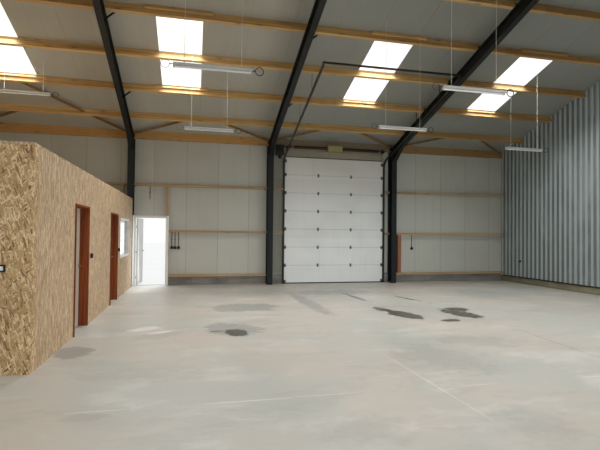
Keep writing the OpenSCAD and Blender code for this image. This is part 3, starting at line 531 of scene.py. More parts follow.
@dataclass(frozen=True)
class SawnTimber(Finish):
    """Softwood from the saw: grain along one axis, knots, and a tone of its own for each length.

    Timber above golden_from is more golden, and grey over the sectional door; a rail's stubs beside
    the door are greyer up to stub_half from its middle; the post at stained_at has a stained foot;
    and dull says how much darker the end away from the office is.
    """

    grain: Axis = Axis.X
    light: Colour = rgb(214, 178, 128)
    dark: Colour = rgb(166, 122, 76)
    board: float = 1.355
    golden_from: float = NEVER
    stained_at: float = NEVER
    stub_half: float = -9.0
    far_shade: float = 0.35
    golden: Colour = rgb(198, 147, 78)
    gate_bay_grey: Colour = rgb(128, 120, 104)
    stub: Colour = rgb(150, 122, 110)
    stain: Colour = rgb(150, 88, 66)
    knot: Colour = rgb(84, 52, 30)
    grey: Colour = rgb(150, 140, 124)

    def by_grain(self, along: float, across: float) -> Point:
        """A scale along the grain, with another one across it."""
        return tuple(along if axis is self.grain else across for axis in Axis)

    def draw(self) -> Ink:
        """Draws the timber.

        Returns:
            The finished shader.
        """
        ink = Ink(self.name, Roughness=0.74)
        bend = ink.noise(0.9, 2.0, 0.5)
        bent = ink.moved(ink.place, bend * 0.03, bend * 0.03, bend * 0.03)
        fibres = ink.noise(self.by_grain(0.55, 26.0), 4.0, 0.65, place=bent)
        rings = ink.noise(self.by_grain(0.16, 7.5), 3.0, 0.55, (2.0, 4.0, 1.0), bent)
        knots = ink.cells(ink.stretched(self.by_grain(1.9, 7.0), (0.3, 0.1, 0.7)))
        knot = knots.fade(0.16, 0.06)
        own = ink.chance((ink.x / 5.1).whole() * 3.1 + (ink.y / self.board).whole() * 7.7
                         + (ink.z / 0.9).whole() * 1.3)
        golden = ink.z.over(self.golden_from)
        # Painted shade: timber darkens from x = -3.9 towards the end at -X; on a rail, only its eaves
        # beam.
        painted_far_shade = ink.x.fade(-3.9, -4.8) * (golden if self.golden_from < NEVER else 1.0) * self.far_shade
        from_gate = (ink.x - HALL.gate_x).size()
        # The front eaves beam is greyer over the sectional door.
        gate_bay_grey = golden * from_gate.fade(2.24, 2.20) * ink.y.fade(1.0, -1.0)
        stub = from_gate.fade(self.stub_half + 0.02, self.stub_half - 0.02) * (1 - golden)
        stained = (ink.x - self.stained_at).size().fade(0.20, 0.16) * ink.z.fade(1.86, 1.82)
        grey = ink.noise((0.7, 2.0, 2.0), 3.0, 0.6, (5.0, 0, 2.0)).fade(0.56, 0.78)
        ink.feed(Base_Color=ink.coats(
            self.dark, (self.light, fibres.fade(0.30, 0.66) * 0.65 + rings.fade(0.34, 0.62) * 0.35),
            (shade(self.dark, 0.82), (own * 0.42).least(0.4)), (self.golden, golden * 0.7),
            (shade(self.dark, 0.55), painted_far_shade), (self.gate_bay_grey, gate_bay_grey * 0.88), (self.stub, stub * 0.6),
            (self.stain, stained * 0.75), (shade(self.dark, 0.62), knots.fade(0.34, 0.10) * 0.25),
            (self.knot, knot * 0.5), (self.grey, grey * 0.35)))
        return ink.rise(fibres + knot * 0.3, 0.0012, 0.8)


@dataclass(frozen=True)
class PrimedSteel(Finish):
    """Hot-rolled steel in a dark satin paint, with dust on what faces up and a few scuffs."""

    tone: Colour = rgb(25, 31, 35)
    dust: Colour = rgb(128, 122, 112)

    def draw(self) -> Ink:
        """Draws the paint.

        Returns:
            The finished shader.
        """
        ink = Ink(self.name)
        mottle = ink.noise(2.2, 4.0, 0.6)
        scuffs = ink.noise((14.0, 14.0, 3.0), 4.0, 0.7, (3.0, 1.0, 0)).fade(0.66, 0.78)
        settled = ink.up().fade(0.5, 0.95) * (0.35 + ink.noise(5.0, 3.0, 0.6) * 0.6)
        colour = ink.coats(shade(self.tone, 0.82), (shade(self.tone, 1.25), mottle.fade(0.3, 0.7)),
                           (shade(self.tone, 2.2), scuffs * 0.45), (self.dust, settled))
        ink.feed(Base_Color=colour, Roughness=0.42 + mottle * 0.22 + settled * 0.3)
        return ink.rise(ink.noise(60.0, 2.0, 0.6), 0.0006, 0.5)


@dataclass(frozen=True)
class CoatedSheet(Finish):
    """Coated steel sheet with a fine line pressed in, one colour inside the hall and one outside."""

    inside: Colour = rgb(198, 198, 189)
    outside: Colour = OUTSIDE_GREY
    lines: Axis = Axis.X
    pitch: float = 0.05
    roof: bool = False
    joint_at: float = 0.0
    joint_step: float = 0.0
    joint_half: float = 0.004
    joint_dark: float = 0.5
    line_dark: float = 0.06
    painted_warmth_from: float = NEVER
    cover: float = 1.0
    shadow: Colour = shade(rgb(174, 183, 180), 0.55)
    dust: Colour = rgb(120, 112, 98)
    rain: Colour = rgb(110, 104, 92)
    line: Colour = rgb(92, 88, 80)
    panel: Colour = rgb(130, 124, 112)
    painted_warmth: Colour = rgb(178, 160, 128)
    joint: Colour = rgb(62, 58, 52)

    def draw(self) -> Ink:
        """Draws the sheet with its pressed lines, grime and rain streaks.

        Returns:
            The finished shader.
        """
        ink = Ink(self.name)
        across = (ink.x, ink.y, ink.z)[self.lines.value]
        lines = ink.waves(across, self.pitch).fade(0.86, 1.0)
        clouds = ink.noise((0.55, 0.55, 0.8), 3.0, 0.55)
        panel = ink.chance(((across + 0.326) / self.cover).whole())
        shadow, joint = [], []
        if self.roof:
            out = ink.up().fade(-0.2, 0.2)
            streak = ink.noise((11.0, 0.5, 0.5), 4.0, 0.6)
            shadow = [(self.shadow, ink.x.fade(1.4, -1.8) * (1 - out) * 0.62)]
        else:
            out = ink.y.size().fade(8.09, 8.11).most(ink.x.size().fade(9.10, 9.12))
            streak = ink.noise((7.0, 7.0, 0.35), 4.0, 0.6)
        if self.joint_step:
            near = across.to_joint(self.joint_at, self.joint_step)
            near = near.fade(self.joint_half + 0.003, self.joint_half)
            joint = [(self.joint, near * self.joint_dark)]
        # Painted reflected light: the door's inner face warms towards its top, for light thrown back by
        # the timber.
        painted_warmth = ink.z.fade(self.painted_warmth_from, self.painted_warmth_from + 1.7) * ink.y.over(-8.03)
        colour = ink.coats(
            self.inside, (self.outside, out), *shadow, (self.dust, clouds.fade(0.45, 0.75) * 0.10),
            (self.rain, streak.fade(0.52, 0.80) * (0.08 + out * 0.18)),
            (self.line, lines * self.line_dark), (self.panel, panel * 0.10), (self.painted_warmth, painted_warmth * 0.3),
            *joint)
        ink.feed(Base_Color=colour, Roughness=0.40 + clouds * 0.25)
        return ink.rise(clouds * 0.9 - lines * (self.line_dark * 5), 0.0016, 0.7)


@dataclass(frozen=True)
class RibbedSheet(Finish):
    """The corrugated lining of the gables: coated sheet, dusty on its lower flanks."""

    tone: Colour = rgb(172, 183, 185)
    dust: Colour = rgb(118, 114, 104)
    cover: float = 1.0

    def draw(self) -> Ink:
        """Draws the lining.

        Returns:
            The finished shader.
        """
        ink = Ink(self.name)
        clouds = ink.noise((0.8, 0.8, 0.4), 4.0, 0.6)
        streak = ink.noise((5.0, 14.0, 0.4), 4.0, 0.6)
        # Painted shade: the valleys of the corrugation, set back from the crests, are darkened.
        valley_shade = ink.x.size().fade(HALL.lining_x + 0.008, HALL.lining_x + 0.030)
        lap = (ink.y / self.cover + 0.3).rest().fade(0.985, 0.995)
        colour = ink.coats(self.tone, (shade(self.tone, 0.34), valley_shade * 0.88),
                           (shade(self.tone, 1.22), clouds.fade(0.45, 0.75) * 0.5),
                           (self.dust, streak.fade(0.52, 0.80) * 0.35),
                           (shade(self.tone, 0.5), lap * 0.4))
        ink.feed(Base_Color=colour, Roughness=0.38 + clouds * 0.3, Metallic=clouds * 0.25)
        return ink.rise(clouds - lap * 0.6, 0.0015, 0.6)


@dataclass(frozen=True)
class StrandBoard(Finish):
    """Board pressed from wood flakes that lie at all angles, with joints between the sheets."""

    plane: Plane = Plane.UPRIGHT
    pale: Colour = rgb(226, 204, 172)
    middle: Colour = rgb(200, 170, 134)
    dark: Colour = rgb(158, 124, 92)
    length: float = 0.12
    width: float = 0.016
    turns: tuple[float, ...] = (90.0, 70.0, 110.0, 84.0, 98.0, 78.0)
    joint: Colour = rgb(70, 48, 30)
    joint_step: float = 1.22
    rows: tuple[float, ...] = ()

    def layer(self, ink: Ink, board: Val, turn: float, index: int) -> tuple[Val, Val, Val]:
        """One layer of flakes.

        Args:
            ink: The material.
            board: Coordinates in the sheet's plane.
            turn: The flakes' angle in degrees.
            index: The layer's number, which sets where its flakes lie.

        Returns:
            The flakes' random numbers, their colours and the rims round them.
        """
        waved = ink.noise(2.6, 2.0, 0.5, (index * 3.7, index, 0), board)
        curved = ink.noise(3.1, 1.0, 0.5, (index, index * 2.9, 4.0), board)
        bent = ink.moved(board, waved * 0.035, curved * 0.035)
        turned = ink.stretched((1, 1, 1), (index * 1.31, index * 0.77, 0),
                               (0, 0, math.radians(turn)), bent)
        place = ink.stretched((1 / self.length, 1 / self.width, 1), place=turned)
        chance = ink.parts(ink.cells(place, out="Color", flat=True))[0]
        rim = ink.cells(place, feature="DISTANCE_TO_EDGE", flat=True).fade(0.07, 0.0)
        grain = ink.noise((14.0, 420.0, 1.0), 2.0, 0.6, place=turned)
        stops = ((0.0, self.dark), (0.18, shade(self.middle, 0.88)), (0.5, self.middle),
                 (0.8, self.pale), (1.0, shade(self.pale, 1.08)))
        # Painted shade: each flake is darkened along its rim, in the gaps between flakes.
        flake = ink.coats(ink.node("ShaderNodeValToRGB", {"stops": stops}, {0: chance}),
                          (shade(self.dark, 0.85), grain.fade(0.5, 0.78) * 0.30),
                          (shade(self.dark, 0.55), rim * 0.55))
        return chance, flake, rim

    def draw(self) -> Ink:
        """Draws the flakes layer on layer, then the joints.

        Returns:
            The finished shader.
        """
        ink = Ink(self.name, Roughness=0.70)
        upright = self.plane is Plane.UPRIGHT
        along, up = (ink.x + ink.y, ink.z) if upright else (ink.x, ink.y)
        board = ink.vector(along, up)
        for index, turn in enumerate(self.turns):
            chance, flake, rim = self.layer(ink, board, turn, index)
            lift = chance * 0.8 - rim * 0.5
            if index == 0:
                colour, height = flake, lift
                continue
            on_top = (chance * 7.31 + index * 0.37).rest().fade(0.58, 0.62)
            colour = ink.blend(colour, flake, on_top)
            height = height + (lift + 0.3 - height) * on_top
        gaps = [along.to_joint(0.0, self.joint_step), *((up - row).size() for row in self.rows)]
        joint = reduce(Val.most, [gap.fade(0.0035, 0.0015) for gap in gaps])
        broad = ink.noise(1.6, 3.0, 0.6, place=board)
        ink.feed(Base_Color=ink.coats(colour, (self.dark, broad.fade(0.45, 0.8) * 0.28),
                                      (self.joint, joint * 0.85)))
        return ink.rise(height - joint * 2.0, 0.0010, 0.8)


@dataclass(frozen=True)
class Galvanised(Finish):
    """Zinc-coated steel with its spangle."""

    tone: Colour = rgb(150, 153, 155)
    dark: float = 0.6

    def draw(self) -> Ink:
        """Draws the zinc.

        Returns:
            The finished shader.
        """
        ink = Ink(self.name)
        spangle = ink.parts(ink.cells(ink.stretched((60.0,) * 3), out="Color"))[0]
        clouds = ink.noise(3.0, 3.0, 0.6)
        colour = ink.blend(shade(self.tone, self.dark), shade(self.tone, 1.12),
                           spangle * 0.6 + clouds * 0.4)
        ink.feed(Base_Color=colour, Roughness=0.34 + spangle * 0.22, Metallic=0.70 + clouds * 0.3)
        return ink.rise(spangle, 0.0004, 0.4)


@dataclass(frozen=True)
class HingeSteel(Finish):
    """Hinges of the sectional door: pale zinc plates with darker, greased knuckles and rollers."""

    plate: Colour = rgb(120, 118, 112)
    knuckle: Colour = rgb(40, 38, 36)
    proud: float = -8.0055

    def draw(self) -> Ink:
        """Draws the plates, and grease on what stands proud of them.

        Returns:
            The finished shader.
        """
        ink = Ink(self.name)
        clouds = ink.noise(9.0, 3.0, 0.6)
        grease = ink.y.fade(self.proud - 0.0005, self.proud + 0.0015)
        colour = ink.coats(self.plate, (shade(self.plate, 0.7), clouds.fade(0.4, 0.7) * 0.6),
                           (self.knuckle, grease * 0.9))
        ink.feed(Base_Color=colour, Roughness=0.46 + clouds * 0.2, Metallic=0.35 + grease * 0.3)
        return ink.rise(clouds, 0.0006, 0.5)


@dataclass(frozen=True)
class DoorLeaf(Finish):
    """A painted door leaf whose hinges and handles are bare metal."""

    paint: Colour = rgb(222, 221, 216)
    handled: Colour = rgb(150, 142, 128)
    pivot: tuple[float, float] = (0.0, 0.0)
    turn: float = 0.0
    near: float = 0.013
    thick: float = 0.04

    def draw(self) -> Ink:
        """Draws paint on the leaf's thickness and metal on what stands proud of it.

        Returns:
            The finished shader.
        """
        ink = Ink(self.name)
        a = math.radians(self.turn)
        depth = (ink.y - self.pivot[1]) * math.cos(a) - (ink.x - self.pivot[0]) * math.sin(a)
        proud = (depth - (self.near + self.thick / 2)).size().over(self.thick / 2 + 0.0004)
        clouds = ink.noise(2.4, 3.0, 0.6)
        smears = ink.noise(6.0, 4.0, 0.6, (1.0, 2.0, 0)).fade(0.58, 0.78) * ink.z.fade(1.7, 1.1)
        colour = ink.coats(self.paint, (shade(self.paint, 0.92), clouds.fade(0.4, 0.75)),
                           (self.handled, smears * 0.22), (BARE_METAL, proud))
        ink.feed(Base_Color=colour, Metallic=proud * 0.9,
                 Roughness=0.42 - proud * 0.12 + clouds * 0.08)
        return ink.rise(ink.noise(220.0, 2.0, 0.5), 0.0003, 0.5)


@dataclass(frozen=True)
class StainedLining(Finish):
    """Door linings of dark stained hardwood, with bare hinges on the office side."""

    light: Colour = rgb(158, 78, 26)
    dark: Colour = rgb(104, 46, 14)
    metal_from: float = 4.4472

    def draw(self) -> Ink:
        """Draws the stain, its grain and the metal.

        Returns:
            The finished shader.
        """
        ink = Ink(self.name)
        grain = ink.noise((42.0, 42.0, 1.1), 4.0, 0.65)
        pores = ink.noise((160.0, 160.0, 6.0), 2.0, 0.6, (3.0, 1.0, 0))
        metal = ink.x.over(self.metal_from)
        colour = ink.coats(self.dark, (self.light, grain.fade(0.32, 0.68)),
                           (shade(self.dark, 0.55), pores.fade(0.55, 0.8) * 0.5), (BARE_METAL, metal))
        ink.feed(Base_Color=colour, Metallic=metal * 0.9, Roughness=0.62 + pores * 0.2 - metal * 0.2)
        return ink.rise(grain + pores * 0.5, 0.0006, 0.6)


@dataclass(frozen=True)
class Plastic(Finish):
    """Moulded plastic or rubber with a fine grain and a little dust."""

    tone: Colour = rgb(28, 28, 29)
    rough: float = 0.45
    dusty: float = 0.12
    dust: Colour = rgb(140, 134, 124)

    def draw(self) -> Ink:
        """Draws the plastic.

        Returns:
            The finished shader.
        """
        ink = Ink(self.name)
        clouds = ink.noise(7.0, 4.0, 0.6)
        colour = ink.coats(self.tone, (shade(self.tone, 1.35), clouds.fade(0.35, 0.7) * 0.5),
                           (self.dust, clouds.fade(0.45, 0.8) * self.dusty))
        ink.feed(Base_Color=colour, Roughness=self.rough + clouds * 0.15)
        return ink.rise(ink.noise(320.0, 2.0, 0.5), 0.0002, 0.5)


@dataclass(frozen=True)
class ClearGlass(Finish):
    """Clear double glazing."""

    clean: Colour = rgb(244, 250, 250)
    dusty: Colour = rgb(226, 230, 228)

    def draw(self) -> Ink:
        """Draws the glass, with faint dust.

        Returns:
            The finished shader.
        """
        ink = Ink(self.name, Transmission_Weight=1.0, IOR=1.5)
        dust = ink.noise(4.0, 4.0, 0.6).fade(0.5, 0.8)
        return ink.feed(Base_Color=ink.blend(self.clean, self.dusty, dust),
                        Roughness=0.01 + dust * 0.05)


@dataclass(frozen=True)
class Daylight(Finish):
    """Translucent roof sheet: white from above, and from below as bright as the sky behind it."""

    top: Colour = rgb(214, 218, 214)
    worn: Colour = rgb(186, 190, 184)
    painted_glow: Colour = rgb(255, 255, 255)
    rib: Colour = rgb(240, 243, 243)
    rib_step: float = 0.336

    def draw(self) -> Ink:
        """Draws the sheet, with its glow on the underside.

        Returns:
            The finished shader.
        """
        ink = Ink(self.name, Roughness=0.35, Emission_Strength=1.0)
        below = ink.up().fade(-0.3, -0.7)
        clouds = ink.noise((1.2, 0.4, 1.0), 3.0, 0.6)
        ribs = ink.waves(ink.x, self.rib_step).fade(0.8, 1.0)
        # Painted glow: the underside emits light, a little less along the ribs and in clouds, for
        # daylight through the sheet.
        painted_glow = ink.blend(self.painted_glow, self.rib, clouds.fade(0.5, 0.8) * 0.6 + ribs * 0.2)
        ink.feed(Base_Color=ink.blend(self.top, self.worn, clouds.fade(0.4, 0.7)),
                 Emission_Color=ink.blend(BLANK, painted_glow, below))
        return ink.rise(clouds, 0.001, 0.5)


class Assembly:
    """A sub-assembly of the hall: it builds its own fittings, then finishes its CAD pieces."""

    def build(self) -> None:
        """Builds the fittings, where there are any."""

    def dress(self) -> None:
        """Finishes the CAD pieces, where there are any."""


def clear() -> None:
    """Leaves edit mode and selects nothing."""
    if bpy.context.object is not None and bpy.context.object.mode != "OBJECT":
        bpy.ops.object.mode_set(mode="OBJECT")
    bpy.ops.object.select_all(action="DESELECT")


def hold(*pieces: Piece) -> None:
    """Selects some pieces and nothing else.

    Args:
        pieces: The pieces, of which the first becomes active.
    """
    clear()
    for piece in pieces:
        piece.select_set(True)
    bpy.context.view_layer.objects.active = pieces[0]


def settle(piece: Piece) -> Piece:
    """Puts a piece's place, turn and scale into its mesh.

    Args:
        piece: The piece.

    Returns:
        The piece.
    """
    hold(piece)
    bpy.ops.object.transform_apply(location=True, rotation=True, scale=True)
    return piece


def block(corner: Point, opposite: Point) -> Piece:
    """A rough block.

    Args:
        corner: One corner.
        opposite: The corner farthest from it.

    Returns:
        The block.
    """
    clear()
    bpy.ops.mesh.primitive_cube_add(size=1, location=[(a + b) / 2 for a, b in zip(corner, opposite)])
    piece = bpy.context.object
    piece.scale = [abs(b - a) for a, b in zip(corner, opposite)]
    return settle(piece)


def rod(start: Point, end: Point, radius: float, sides: int) -> Piece:
    """A round or many-sided bar.

    Args:
        start: The middle of one end.
        end: The middle of the other end.
        radius: The bar's radius.
        sides: Its number of sides.

    Returns:
        The bar.
    """
    clear()
    line = Vector(end) - Vector(start)
    bpy.ops.mesh.primitive_cylinder_add(
        vertices=sides, radius=radius, depth=line.length, location=(Vector(start) + Vector(end)) / 2,
        rotation=line.to_track_quat("Z", "Y").to_euler())
    return settle(bpy.context.object)


def cut(piece: Piece, place: Point, side: Side) -> None:
    """Cuts all faces of a piece by a plane, so that a part of them can be drawn out.

    Args:
        piece: The piece.
        place: A point of the plane.
        side: The side that the plane faces.
    """
    hold(piece)
    bpy.ops.object.mode_set(mode="EDIT")
    bpy.ops.mesh.select_all(action="SELECT")
    bpy.ops.mesh.bisect(plane_co=place, plane_no=side.value)


def draw_out(piece: Piece, side: Side, move: Point, scale: float = 1.0, inset: float = 0.0,
             where: Callable[[Vector], bool] = lambda middle: True) -> Piece:
    """Extrudes the faces on one side of a piece.

    Args:
        piece: The piece to shape.
        side: The side.
        move: How far the faces go.
        scale: How much they grow or shrink at the end.
        inset: How far they are inset first.
        where: A test of a face's middle.

    Returns:
        The piece.
    """
    hold(piece)
    mesh = piece.data
    for part in (*mesh.vertices, *mesh.edges):
        part.select = False
    for face in mesh.polygons:
        face.select = face.normal.dot(Vector(side.value)) > 0.9 and where(face.center)
    bpy.context.tool_settings.mesh_select_mode = (False, False, True)
    bpy.ops.object.mode_set(mode="EDIT")
    if inset:
        bpy.ops.mesh.inset(thickness=inset, depth=0)
    bpy.ops.mesh.extrude_region_move(TRANSFORM_OT_translate={"value": move})
    if scale != 1.0:
        bpy.ops.transform.resize(value=(scale,) * 3)
    bpy.ops.object.mode_set(mode="OBJECT")
    return piece


def smooth(piece: Piece, degrees: float = 35.0) -> Piece:
    """Shades a piece smooth.

    Args:
        piece: The piece.
        degrees: The angle from which an edge stays sharp.

    Returns:
        The piece.
    """
    hold(piece)
    bpy.ops.object.shade_smooth_by_angle(angle=math.radians(degrees))
    return piece


def soften(piece: Piece, width: float) -> Piece:
    """Rounds a piece's edges in two steps.

    Args:
        piece: The piece.
        width: The rounding's width.

    Returns:
        The piece.
    """
    hold(piece)
    edge = piece.modifiers.new("edge", "BEVEL")
    edge.width, edge.segments, edge.limit_method = width, 2, "ANGLE"
    bpy.ops.object.modifier_apply(modifier=edge.name)
    return smooth(piece)


def ring(centre: Point, radius: float, thick: float) -> Piece:
    """A hoop that stands along the hall, spun from a small circle.

    Args:
        centre: The hoop's middle.
        radius: Its radius to the middle of the bar.
        thick: Radius of the bar.

    Returns:
        The hoop.
    """
    clear()
    up, axis = Vector((0, 0, 1)), Vector((0, 1, 0))
    bpy.ops.mesh.primitive_circle_add(
        vertices=8, radius=thick, location=Vector(centre) + up * radius,
        rotation=axis.cross(up).to_track_quat("Z", "Y").to_euler())
    piece = settle(bpy.context.object)
    bpy.ops.object.mode_set(mode="EDIT")
    bpy.ops.mesh.select_all(action="SELECT")
    bpy.ops.mesh.spin(steps=28, angle=2 * math.pi, center=centre, axis=axis)
    bpy.ops.mesh.select_all(action="SELECT")
    bpy.ops.mesh.remove_doubles(threshold=0.0002)
    bpy.ops.mesh.normals_make_consistent(inside=False)
    bpy.ops.object.mode_set(mode="OBJECT")
    return smooth(piece, 40.0)


def copy(piece: Piece, move: Matrix | Point) -> Piece:
    """A copy of a piece with its own mesh, carried elsewhere.

    Args:
        piece: The piece.
        move: How far it goes, or how it is moved, turned or mirrored.

    Returns:
        The copy.
    """
    matrix = move if isinstance(move, Matrix) else Matrix.Translation(move)
    twin = piece.copy()
    twin.data = piece.data.copy()
    twin.data.transform(matrix)
    if matrix.determinant() < 0:
        twin.data.flip_normals()
    bpy.context.scene.collection.objects.link(twin)
    return twin


def join(*pieces: Piece) -> Piece:
    """Joins pieces.

    Args:
        pieces: The pieces.

    Returns:
        The one piece that they become.
    """
    hold(*pieces)
    bpy.ops.object.join()
    return bpy.context.view_layer.objects.active


def spread(piece: Piece, moves: Iterable[Matrix | Point]) -> Piece:
    """Copies a model piece to each place and joins the copies; the model is used up.

    Args:
        piece: The model.
        moves: How each copy is carried from the model's place.

    Returns:
        The joined copies.
    """
    twins = [copy(piece, move) for move in moves]
    bpy.data.objects.remove(piece)
    return join(*twins)


HALF_TURN = Matrix.Rotation(math.pi, 4, "Z")
FLIP_X = Matrix.Scale(-1, 4, (1, 0, 0))
FLIP_Y = Matrix.Scale(-1, 4, (0, 1, 0))


def both(at: Matrix) -> tuple[Matrix, Matrix]:
    """A place, and the place opposite it, half a turn round the hall's middle."""
    return at, HALF_TURN @ at


def wear(piece: Piece, finish: Finish) -> None:
    """Gives a piece its finish in place of any other."""
    piece.data.materials.clear()
    piece.data.materials.append(finish.material())


def hand_over(piece: Piece, name: str, finish: Finish) -> None:
    """Hands a finished piece over; it rides on the building.

    Args:
        piece: The piece.
        name: Its name.
        finish: Its finish.
        slot: The record's material slot.
    """
    piece.name = piece.data.name = name
    wear(piece, finish)
    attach(piece, "building")
    LOG.info("%s: %d faces", name, len(piece.data.polygons))


def dress(finish: Finish, *nodes: str) -> None:
    """Gives CAD nodes a finish."""
    for node in nodes:
        wear(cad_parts[node], finish)
        LOG.info("%s wears %s", node, finish.name)


FLOOR = TrowelledFloor("trowelled_floor")
CONCRETE = CastConcrete("cast_concrete")
MOSSY_CONCRETE = CastConcrete("mossy_concrete", rgb(142, 138, 114))
STEEL = PrimedSteel("primed_steel")
RAFTER_STEEL = PrimedSteel("rafter_steel", rgb(11, 16, 15), rgb(58, 60, 55))
TIMBER_PURLIN = SawnTimber("purlin_timber", Axis.X, rgb(244, 206, 142), rgb(186, 142, 86))
TIMBER_RAIL = SawnTimber("rail_timber", Axis.X, rgb(199, 175, 136), rgb(162, 130, 92),
                         golden_from=4.4, stub_half=2.2, far_shade=0.6)
TIMBER_UP = SawnTimber("post_timber", Axis.Z, rgb(207, 181, 139), rgb(166, 134, 94), stained_at=-4.6)
TIMBER_BRACE_SHADED = SawnTimber("brace_timber_shaded", Axis.Y, rgb(172, 134, 84), rgb(122, 91, 54), 2.7)
# A darker copy of the timber for the braces: partly their own tone, partly painted shade under the
# roof.
WALL_PANEL = CoatedSheet("wall_panel", joint_at=3.676, joint_step=1.0)
ROOF_PANEL = CoatedSheet("roof_panel", rgb(183, 183, 174), rgb(108, 112, 114), pitch=0.126, roof=True,
                         joint_at=-8.7805, joint_step=1.008, joint_dark=0.11, line_dark=0.04)
GABLE_PANEL = CoatedSheet("gable_panel", OUTSIDE_GREY, lines=Axis.Y, joint_step=1.0)
GATE_WHITE = CoatedSheet("gate_section", rgb(246, 248, 248), rgb(196, 199, 198), Axis.Z, 0.0508,
                         joint_at=HALL.floor, joint_step=HALL.section, joint_half=0.007, joint_dark=0.3,
                         painted_warmth_from=2.6)
TRIM = CoatedSheet("grey_trim", rgb(118, 122, 124), rgb(118, 122, 124), Axis.Z, 0.5)
# Painted shade: a darker grey sheet on the wall beside the door.
SHADE_FLASHING = CoatedSheet("side_flashing_shade", rgb(146, 146, 134), rgb(146, 146, 134), Axis.Z, 0.5)
LINING = RibbedSheet("ribbed_lining")
BOARD_WALL = StrandBoard("strand_board_wall")
BOARD_END = StrandBoard("strand_board_end", Plane.UPRIGHT, rgb(238, 212, 168), rgb(204, 167, 119),
                        rgb(120, 82, 48), 0.085, 0.017, (10.0, -52.0, 78.0, -20.0, 104.0, 42.0, -72.0))
BOARD_FLAT = StrandBoard("strand_board_flat", Plane.FLAT, rows=(-5.6, -3.16, -0.72))
ZINC = Galvanised("galvanised_steel")
DARK_ZINC = Galvanised("weathered_zinc", rgb(96, 90, 80), 0.5)
# A darker copy of the zinc for the door's tracks: partly their own tone, partly painted shade.
TRACK_ZINC_SHADED = Galvanised("track_zinc_shaded", rgb(86, 84, 79))
SPRING_STEEL = Galvanised("spring_steel", rgb(84, 66, 48), 0.5)
WHITE_PROFILE = Plastic("white_profile", rgb(232, 233, 230), 0.34, 0.3)
LAMP_GREY = Plastic("lamp_housing", rgb(196, 199, 200), 0.40, 0.35)
TUBE_WHITE = Plastic("lamp_tube", rgb(240, 242, 242), 0.25, 0.05)
BLACK = Plastic("black_plastic")
RUBBER = Plastic("black_rubber", rgb(22, 22, 23), 0.62)
HEAD_BOARD = Plastic("head_board", rgb(156, 148, 130), 0.55, 0.4)
OLIVE = Plastic("olive_block", rgb(160, 152, 98), 0.6, 0.3)
DARK_CONDUIT = Plastic("dark_conduit", rgb(70, 68, 64), 0.5)
WIRE = Plastic("wire_sheath", rgb(216, 211, 202), 0.5)


@dataclass
class ConcreteWork(Assembly):
    """The slab and the upstands."""

    def dress(self) -> None:
        """Finishes the concrete."""
        dress(FLOOR, "floor_slab")
        dress(CONCRETE, "plinths")
        dress(MOSSY_CONCRETE, "plinth_gables")


@dataclass
class SteelFrame(Assembly):
    """The portal frames with their bolts."""

    bolt: float = 0.016
    head: float = 0.012
    washer: float = 0.003
    end_plate: float = 0.0201
    row_step: float = 0.10
    from_web: float = 0.038
    knee_rows: int = 5
    knee_drop: float = 0.06
    ridge_rows: int = 3
    ridge_drop: float = 0.07

    def hex_bolt(self) -> Piece:
        """A hexagon head on its washer, pointing along +Y from the origin.

        Returns:
            The bolt.
        """
        washer = rod((0, 0, 0), (0, self.washer, 0), self.bolt * 1.25, 12)
        head = rod((0, self.washer - 0.001, 0), (0, self.washer + self.head, 0), self.bolt, 6)
        draw_out(head, Side.REAR, (0, 0.002, 0), 0.8)
        return join(head, washer)

    def places(self) -> list[Matrix]:
        """Places of the bolts, in the plates at the haunches and at the ridge, front and rear.

        Returns:
            A matrix for each.
        """
        knee = HALL.under(HALL.column_depth, HALL.purlin_depth) - self.knee_drop
        ridge = HALL.under(HALL.half_span, HALL.purlin_depth) - self.ridge_drop
        column = HALL.column_depth - HALL.half_span
        bolts = [(y + self.end_plate, top - row * self.row_step)
                 for y, top, rows in ((column, knee, self.knee_rows), (0.0, ridge, self.ridge_rows))
                 for row in range(rows)]
        return [at for x in HALL.frames for side in (-1, 1) for y, z in bolts
                for at in both(Matrix.Translation((x + side * self.from_web, y, z)))]

    def build(self) -> None:
        """Fits the bolts."""
        hand_over(spread(self.hex_bolt(), self.places()), "frame_bolts", STEEL)

    def dress(self) -> None:
        """Paints the frames."""
        dress(STEEL, "columns")
        dress(RAFTER_STEEL, "rafters_front", "rafters_rear", "rafter_ties")


@dataclass
class TimberWork(Assembly):
    """Purlins, rails, posts and braces, with the angles that hold the purlins."""

    half: float = 0.03
    leg: float = 0.07
    rise: float = 0.12
    plate: float = 0.005
    gap: float = 0.0005
    bolt_z: tuple[float, float] = (0.05, 0.09)
    bolt: float = 0.009
    foot_bolt_y: float = 0.045
    foot_bolt: float = 0.011

    def angle(self) -> Piece:
        """A folded angle: its foot on the rafter at the origin, its leg up against the purlin at -Y.

        Returns:
            The angle with its bolts.
        """
        plate = self.plate
        piece = block((-self.half, 0, 0), (self.half, plate, self.rise))
        cut(piece, (0, 0, plate), Side.TOP)
        draw_out(piece, Side.REAR, (0, self.leg, 0), where=lambda middle: middle.z < plate)
        bolts = (rod((0, plate, z), (0, plate + 0.008, z), self.bolt, 6) for z in self.bolt_z)
        y = self.foot_bolt_y
        return join(piece, *bolts, rod((0, y, plate), (0, y, plate + 0.009), self.foot_bolt, 6))

    def places(self) -> list[Matrix]:
        """Places of the angles, uphill of each purlin on each frame, on both slopes."""
        ups = [s / math.cos(HALL.pitch) + HALL.purlin_thick / 2 + self.gap for s in HALL.purlins]
        return [at for x in HALL.frames for up in ups for at in both(
            HALL.slope(x) @ Matrix.Translation((0, up, self.gap - HALL.purlin_depth)))]

    def build(self) -> None:
        """Fits the angles."""
        hand_over(spread(self.angle(), self.places()), "purlin_angles", DARK_ZINC)

    def dress(self) -> None:
        """Finishes the timber along its grain."""
        dress(TIMBER_PURLIN, "purlins", "rooflight_battens")
        dress(TIMBER_RAIL, "wall_rails")
        dress(TIMBER_UP, "wall_posts")
        dress(TIMBER_BRACE_SHADED, "roof_braces")


